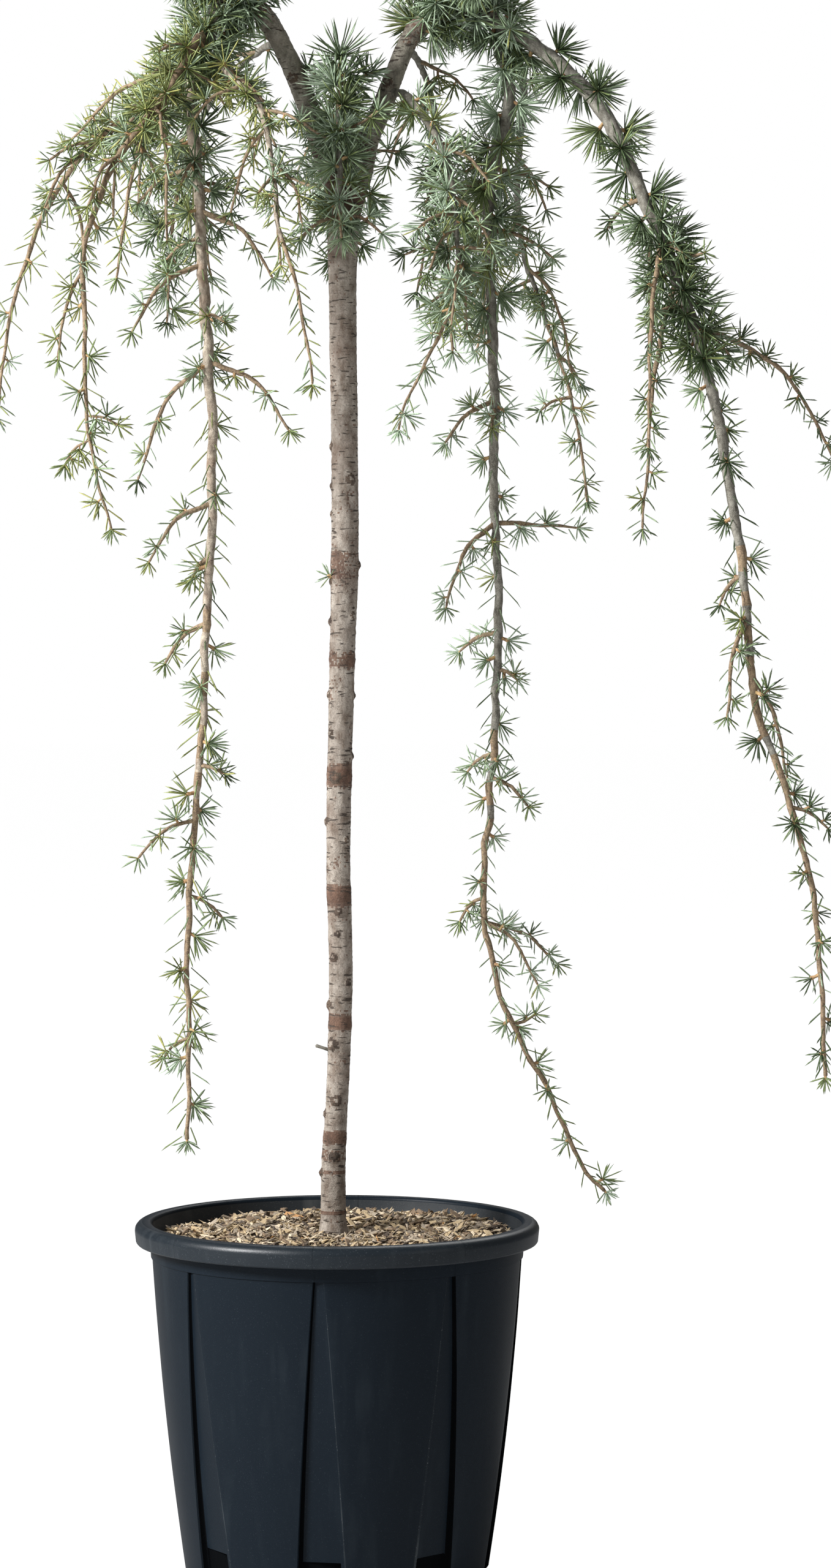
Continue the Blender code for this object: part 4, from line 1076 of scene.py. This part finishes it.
spurs = Mass("trunk", GREEN)
out = Vector((-0.90, -0.30, 0.32)).normalized()
live, dead = [at_share(trunk_line, up_trunk(height))[0] for height in (912, 479)]
spurs.spur(live, out, 0.0115, 0.004, 8, 0.015)
stub = [dead + out * reach for reach in (0.006, 0.016, 0.023)]
spurs.tube(stub, [0.0020, 0.0014, 0.0016], SHOOT_SIDES, GREY)
spurs.join()


# Left-hand masses
# The left bough's long leader hangs almost to the pot; three thinner sprays fan out over it
# to the back, the front and the inside. Tan young wood, needles from blue green to olive.

grow("leader_left", "bough_left_crest", 1.0, 5.6, 1.8, GREEN,
     route=((-131, -60, 1348), (-125, -72, 1297), (-118, -88, 1187), (-110, -98, 1033), (-114, -104, 896),
            (-120, -110, 750), (-130, -115, 612), (-130, -118, 502), (-130, -120, 416)),
     shoots=((0.11, -53, 20, -27), (0.15, 65, -20, -61), (0.2, -61, -30, -62), (0.29, -64, 30, -103),
             (0.29, 73, -20, -61), (0.42, -53, -20, -52), (0.47, -16, 10, -19), (0.53, -37, 30, -34),
             (0.66, 21, -10, -7), (0.71, -49, -20, -32), (0.78, 27, 10, -18), (0.91, -23, 10, -17)),
     bands=((0.0, 0.14, 12, 28, 28), (0.14, 0.56, 54, 14, 22), (0.56, 0.98, 30, 18, 22)),
     twigs=(6, 0.02, 0.3, 36), singles=((0.05, 1.0, 6, 25),), leaf=(30, 9, 17, 5.5), look=(TAN, TWIG))
grow("spray_left_back", "bough_left_crest", 0.8, 4.2, 1, OLIVE,
     route=((-160, 20, 1363), (-188, 60, 1349), (-236, 100, 1316), (-272, 125, 1269), (-301, 140, 1203),
            (-319, 150, 1127), (-323, 155, 1070)),
     shoots=((0.12, -101, 60, -55), (0.23, -16, 50, -90), (0.33, -12, 55, -85), (0.45, -32, -30, -52),
             (0.52, 20, 30, -70)),
     bands=((0.0, 0.4, 10, 24, 27), (0.4, 1.0, 40, 9, 18)),
     twigs=(6, 0.03, 0.42, 50), singles=((0.1, 0.5, 4, 22), (0.5, 1.0, 6.2, 19)),
     leaf=(28, 9, 18, 5.6), look=(TWIG, TWIG))
grow("spray_left_front", "bough_left_crest", 0.8125, 4, 1, OLIVE,
     route=((-146, -110, 1347), (-180, -140, 1297), (-202, -165, 1253), (-217, -180, 1194),
            (-217, -185, 1129), (-213, -190, 1043), (-205, -190, 995), (-193, -190, 956)),
     shoots=((0.16, -58, 50, -174), (0.21, 4, -40, -130), (0.35, -27, -30, -47), (0.57, -23, 10, -75),
             (0.81, 26, -10, -7), (0.85, -22, 10, -21)),
     bands=((0.0, 0.3, 9.5, 25, 27), (0.3, 1.0, 34, 11, 20)),
     twigs=(6, 0.02, 0.32, 48), singles=((0.1, 0.4, 4.2, 22), (0.4, 1.0, 6, 19)),
     leaf=(28, 9, 18, 5.6), look=(TWIG, TWIG))
grow("spray_left_inner", "bough_left_crest", 0.94, 3.4, 1, OLIVE,
     route=((-92, -100, 1359), (-66, -130, 1331), (-54, -150, 1278), (-47, -165, 1217), (-32, -175, 1171),
            (-23, -180, 1122), (-17, -185, 1082)),
     shoots=((0.18, 29, -30, -26), (0.38, -32, 20, -71), (0.46, 28, -20, -55), (0.52, 3, 30, -68)),
     bands=((0.02, 0.3, 13, 18, 24), (0.3, 0.6, 30, 12, 20)),
     twigs=(5, 0.05, 0.55, 40), singles=((0.2, 1.0, 4, 18),), leaf=(30, 9, 18, 5.2), look=(TAN, TWIG))
grow("tuft_crest_left", "bough_left_crest", 0.3, 3, 1.4, BLUE,
     route=((-98, -20, 1470), (-118, -6, 1474), (-140, 4, 1460)),
     shoots=((0.2, 34, 10, 0), (0.45, -14, -50, -10), (0.5, 16, 45, -4), (0.75, -12, -45, -22),
             (0.8, -4, 40, -14)),
     **CREST, crown=(("bough_left", 0.86, 1.0, 5.2, 42, 34), ("bough_left_crest", 0.0, 1.0, 5, 42, 34)))


# Right-hand masses
# The right bough forks into a straight leader that hangs behind and a thicker one that
# arches far out; its old wood bears spurs in pairs. The bluest and fullest needles.

grow("leader_right", "bough_right_crest", 0.8, 5.7, 1.8, PALE_PAINTED_LIGHT,
     route=((157, 35, 1382), (154, 50, 1332), (141, 65, 1283), (142, 78, 1207), (146, 88, 1102),
            (145, 94, 999), (149, 100, 884), (145, 106, 744), (136, 112, 607), (151, 118, 526),
            (178, 122, 469), (203, 126, 418), (236, 130, 350), (250, 130, 335)),
     shoots=((0.13, 53, 30, -13), (0.14, -47, 10, -23), (0.18, 56, -20, -26), (0.21, -38, 30, -33),
             (0.32, -45, -20, -38), (0.42, 78, 20, -4), (0.42, -46, -30, -78), (0.51, -34, 20, -18),
             (0.54, 18, -12, -9), (0.61, -24, 20, -17), (0.63, 33, -20, -25), (0.73, -21, 10, -22),
             (0.75, 69, 30, -42), (0.75, 48, -30, -57), (0.84, 19, 10, 7)),
     bands=((0.0, 0.24, 13.8, 50, 34), (0.24, 0.62, 36, 16, 21), (0.62, 1.0, 42, 12, 19)),
     twigs=(5, 0.02, 0.34, 36), singles=((0.2, 0.6, 7, 26), (0.6, 1.0, 5.8, 18)), leaf=(22, 10, 18, 4.8))
grow("spray_right_front", "bough_right", 0.56, 3.4, 1, PALE_PAINTED_LIGHT,
     route=((77, -35, 1333), (96, -70, 1300), (108, -100, 1233), (107, -115, 1167), (82, -125, 1106),
            (62, -130, 1065), (56, -130, 1046)),
     shoots=((0.3, 40, -30, -30), (0.43, 31, -30, -42), (0.51, -26, -20, -40), (0.55, 8, 20, -73),
             (0.58, -5, -40, -84)),
     bands=((0.02, 0.36, 13, 22, 24), (0.36, 0.72, 19.5, 32, 28), (0.72, 1.0, 28, 12, 20)),
     twigs=(4, 0.34, 0.72, 36), singles=((0.1, 1.0, 5, 21),), leaf=(24, 10, 20, 5.5))
grow("spray_right_back", "bough_right_crest", 0.92, 4, 1, GREEN,
     route=((174, 90, 1367), (168, 135, 1291), (177, 170, 1218), (205, 190, 1143), (226, 200, 1073),
            (237, 205, 992)),
     shoots=((0.2, -30, 60, -70), (0.33, 26, 30, -40), (0.45, -40, 30, -120), (0.54, 42, -20, -100)),
     bands=((0.05, 0.45, 60, 14, 20), (0.45, 0.7, 16, 20, 24), (0.7, 1.0, 34, 11, 19)),
     twigs=(4, 0.5, 0.85, 36), singles=((0.4, 1.0, 5, 20),), leaf=(30, 9, 18, 5.5))
grow("leader_far_right", "bough_right_crest", 1.0, 6.6, 1.8, ARCH,
     route=((201, 0, 1385), (241, -20, 1340), (270, -35, 1281), (299, -50, 1205), (325, -60, 1134),
            (346, -70, 1048), (365, -80, 923), (376, -85, 809), (398, -90, 740), (422, -92, 661),
            (435, -95, 565), (441, -95, 468)),
     shoots=((0.24, -16, -85, -192), (0.28, -31, -10, -224), (0.32, 153, 130, -143), (0.2, -33, 20, -25),
             (0.26, 29, -30, 3), (0.39, 8, 30, -47), (0.55, -19, 20, -26), (0.59, -19, -20, -85),
             (0.64, 35, 30, -92), (0.76, 33, 10, -18), (0.22, 0, 80, -120)),
     bands=((0.0, 0.21, 18, 50, 33), (0.21, 0.35, 8.2, 44, 34), (0.34, 0.8, 40, 18, 21),
            (0.8, 1.0, 30, 12, 18)),
     twigs=(4, 0.22, 0.36, 34), singles=((0.3, 0.7, 8, 25), (0.7, 1.0, 5.8, 18)), leaf=(26, 9, 17, 5.2))
grow("tuft_crest_right", "bough_right_crest", 0.42, 3, 1.4, BLUE,
     route=((112, 10, 1466), (128, 0, 1474), (148, -10, 1464)),
     shoots=((0.32, -44, 4, 2), (0.4, 10, -50, -12), (0.5, 0, 50, -10), (0.8, 14, 40, -16),
             (0.75, -6, -45, -26)),
     **CREST, crown=(("bough_right", 0.93, 1.0, 6, 42, 34), ("bough_right_crest", 0.0, 0.9, 6, 42, 34)))


# Masses at the fork and behind
# A dense tuft sits in the fork of the boughs, and three sprays fall away behind the trunk, so
# that the crown is full all round. Old shaded growth: the deepest green.

# The fork tuft is drawn paler than the growth behind it, as painted light in the shade of the boughs
grow("tuft_fork", "trunk", 0.954, 3.4, 1.4, FORK_PAINTED_LIGHT,
     route=((4, -46, 1290), (3, -40, 1340), (4, -20, 1388)),
     shoots=((0.18, -34, -22, -20), (0.2, 38, -18, -18), (0.2, 4, -26, -24), (0.55, -34, -16, 16),
             (0.6, 33, -18, 14), (0.85, -28, 18, 14), (0.85, 28, 14, 10)),
     bands=((0.05, 0.34, 10.5, 34, 28), (0.34, 1.0, 9.5, 46, 34)),
     twigs=(4, 0.26, 0.95, 30), singles=(), leaf=(34, 16, 22, 12))
grow("spray_back", "trunk", 0.93, 3.4, 1, DEEP,
     route=((6, 60, 1318), (2, 110, 1345), (-4, 165, 1325), (-6, 200, 1275), (-6, 215, 1215)),
     shoots=((0.25, -48, 30, 10), (0.35, 50, 30, 0), (0.55, -40, 40, -40), (0.7, 36, 20, -50)),
     bands=((0.1, 1.0, 18, 26, 26),),
     twigs=(5, 0.45, 0.95, 36), singles=((0.3, 1.0, 6, 22),), leaf=(24, 13, 22, 5.5))
grow("spray_back_left", "bough_left", 0.72, 3.6, 1, DEEP,
     route=((-64, 60, 1408), (-104, 130, 1388), (-144, 180, 1326), (-162, 208, 1246), (-168, 216, 1165)),
     shoots=((0.25, -60, 30, -20), (0.4, 45, 30, -60), (0.55, -50, 20, -70), (0.7, 30, 20, -80)),
     **BEHIND)
grow("spray_back_right", "bough_right", 0.78, 3.6, 1, DEEP,
     route=((66, 65, 1405), (82, 130, 1385), (96, 190, 1325), (104, 225, 1245), (106, 240, 1160)),
     shoots=((0.25, 50, 40, -30), (0.4, -40, 30, -60), (0.6, 40, 20, -80), (0.7, -28, 20, -80)),
     **BEHIND)


size = {"cad": [list(corner) for corner in cad_box], "visual": [list(corner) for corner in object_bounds()]}
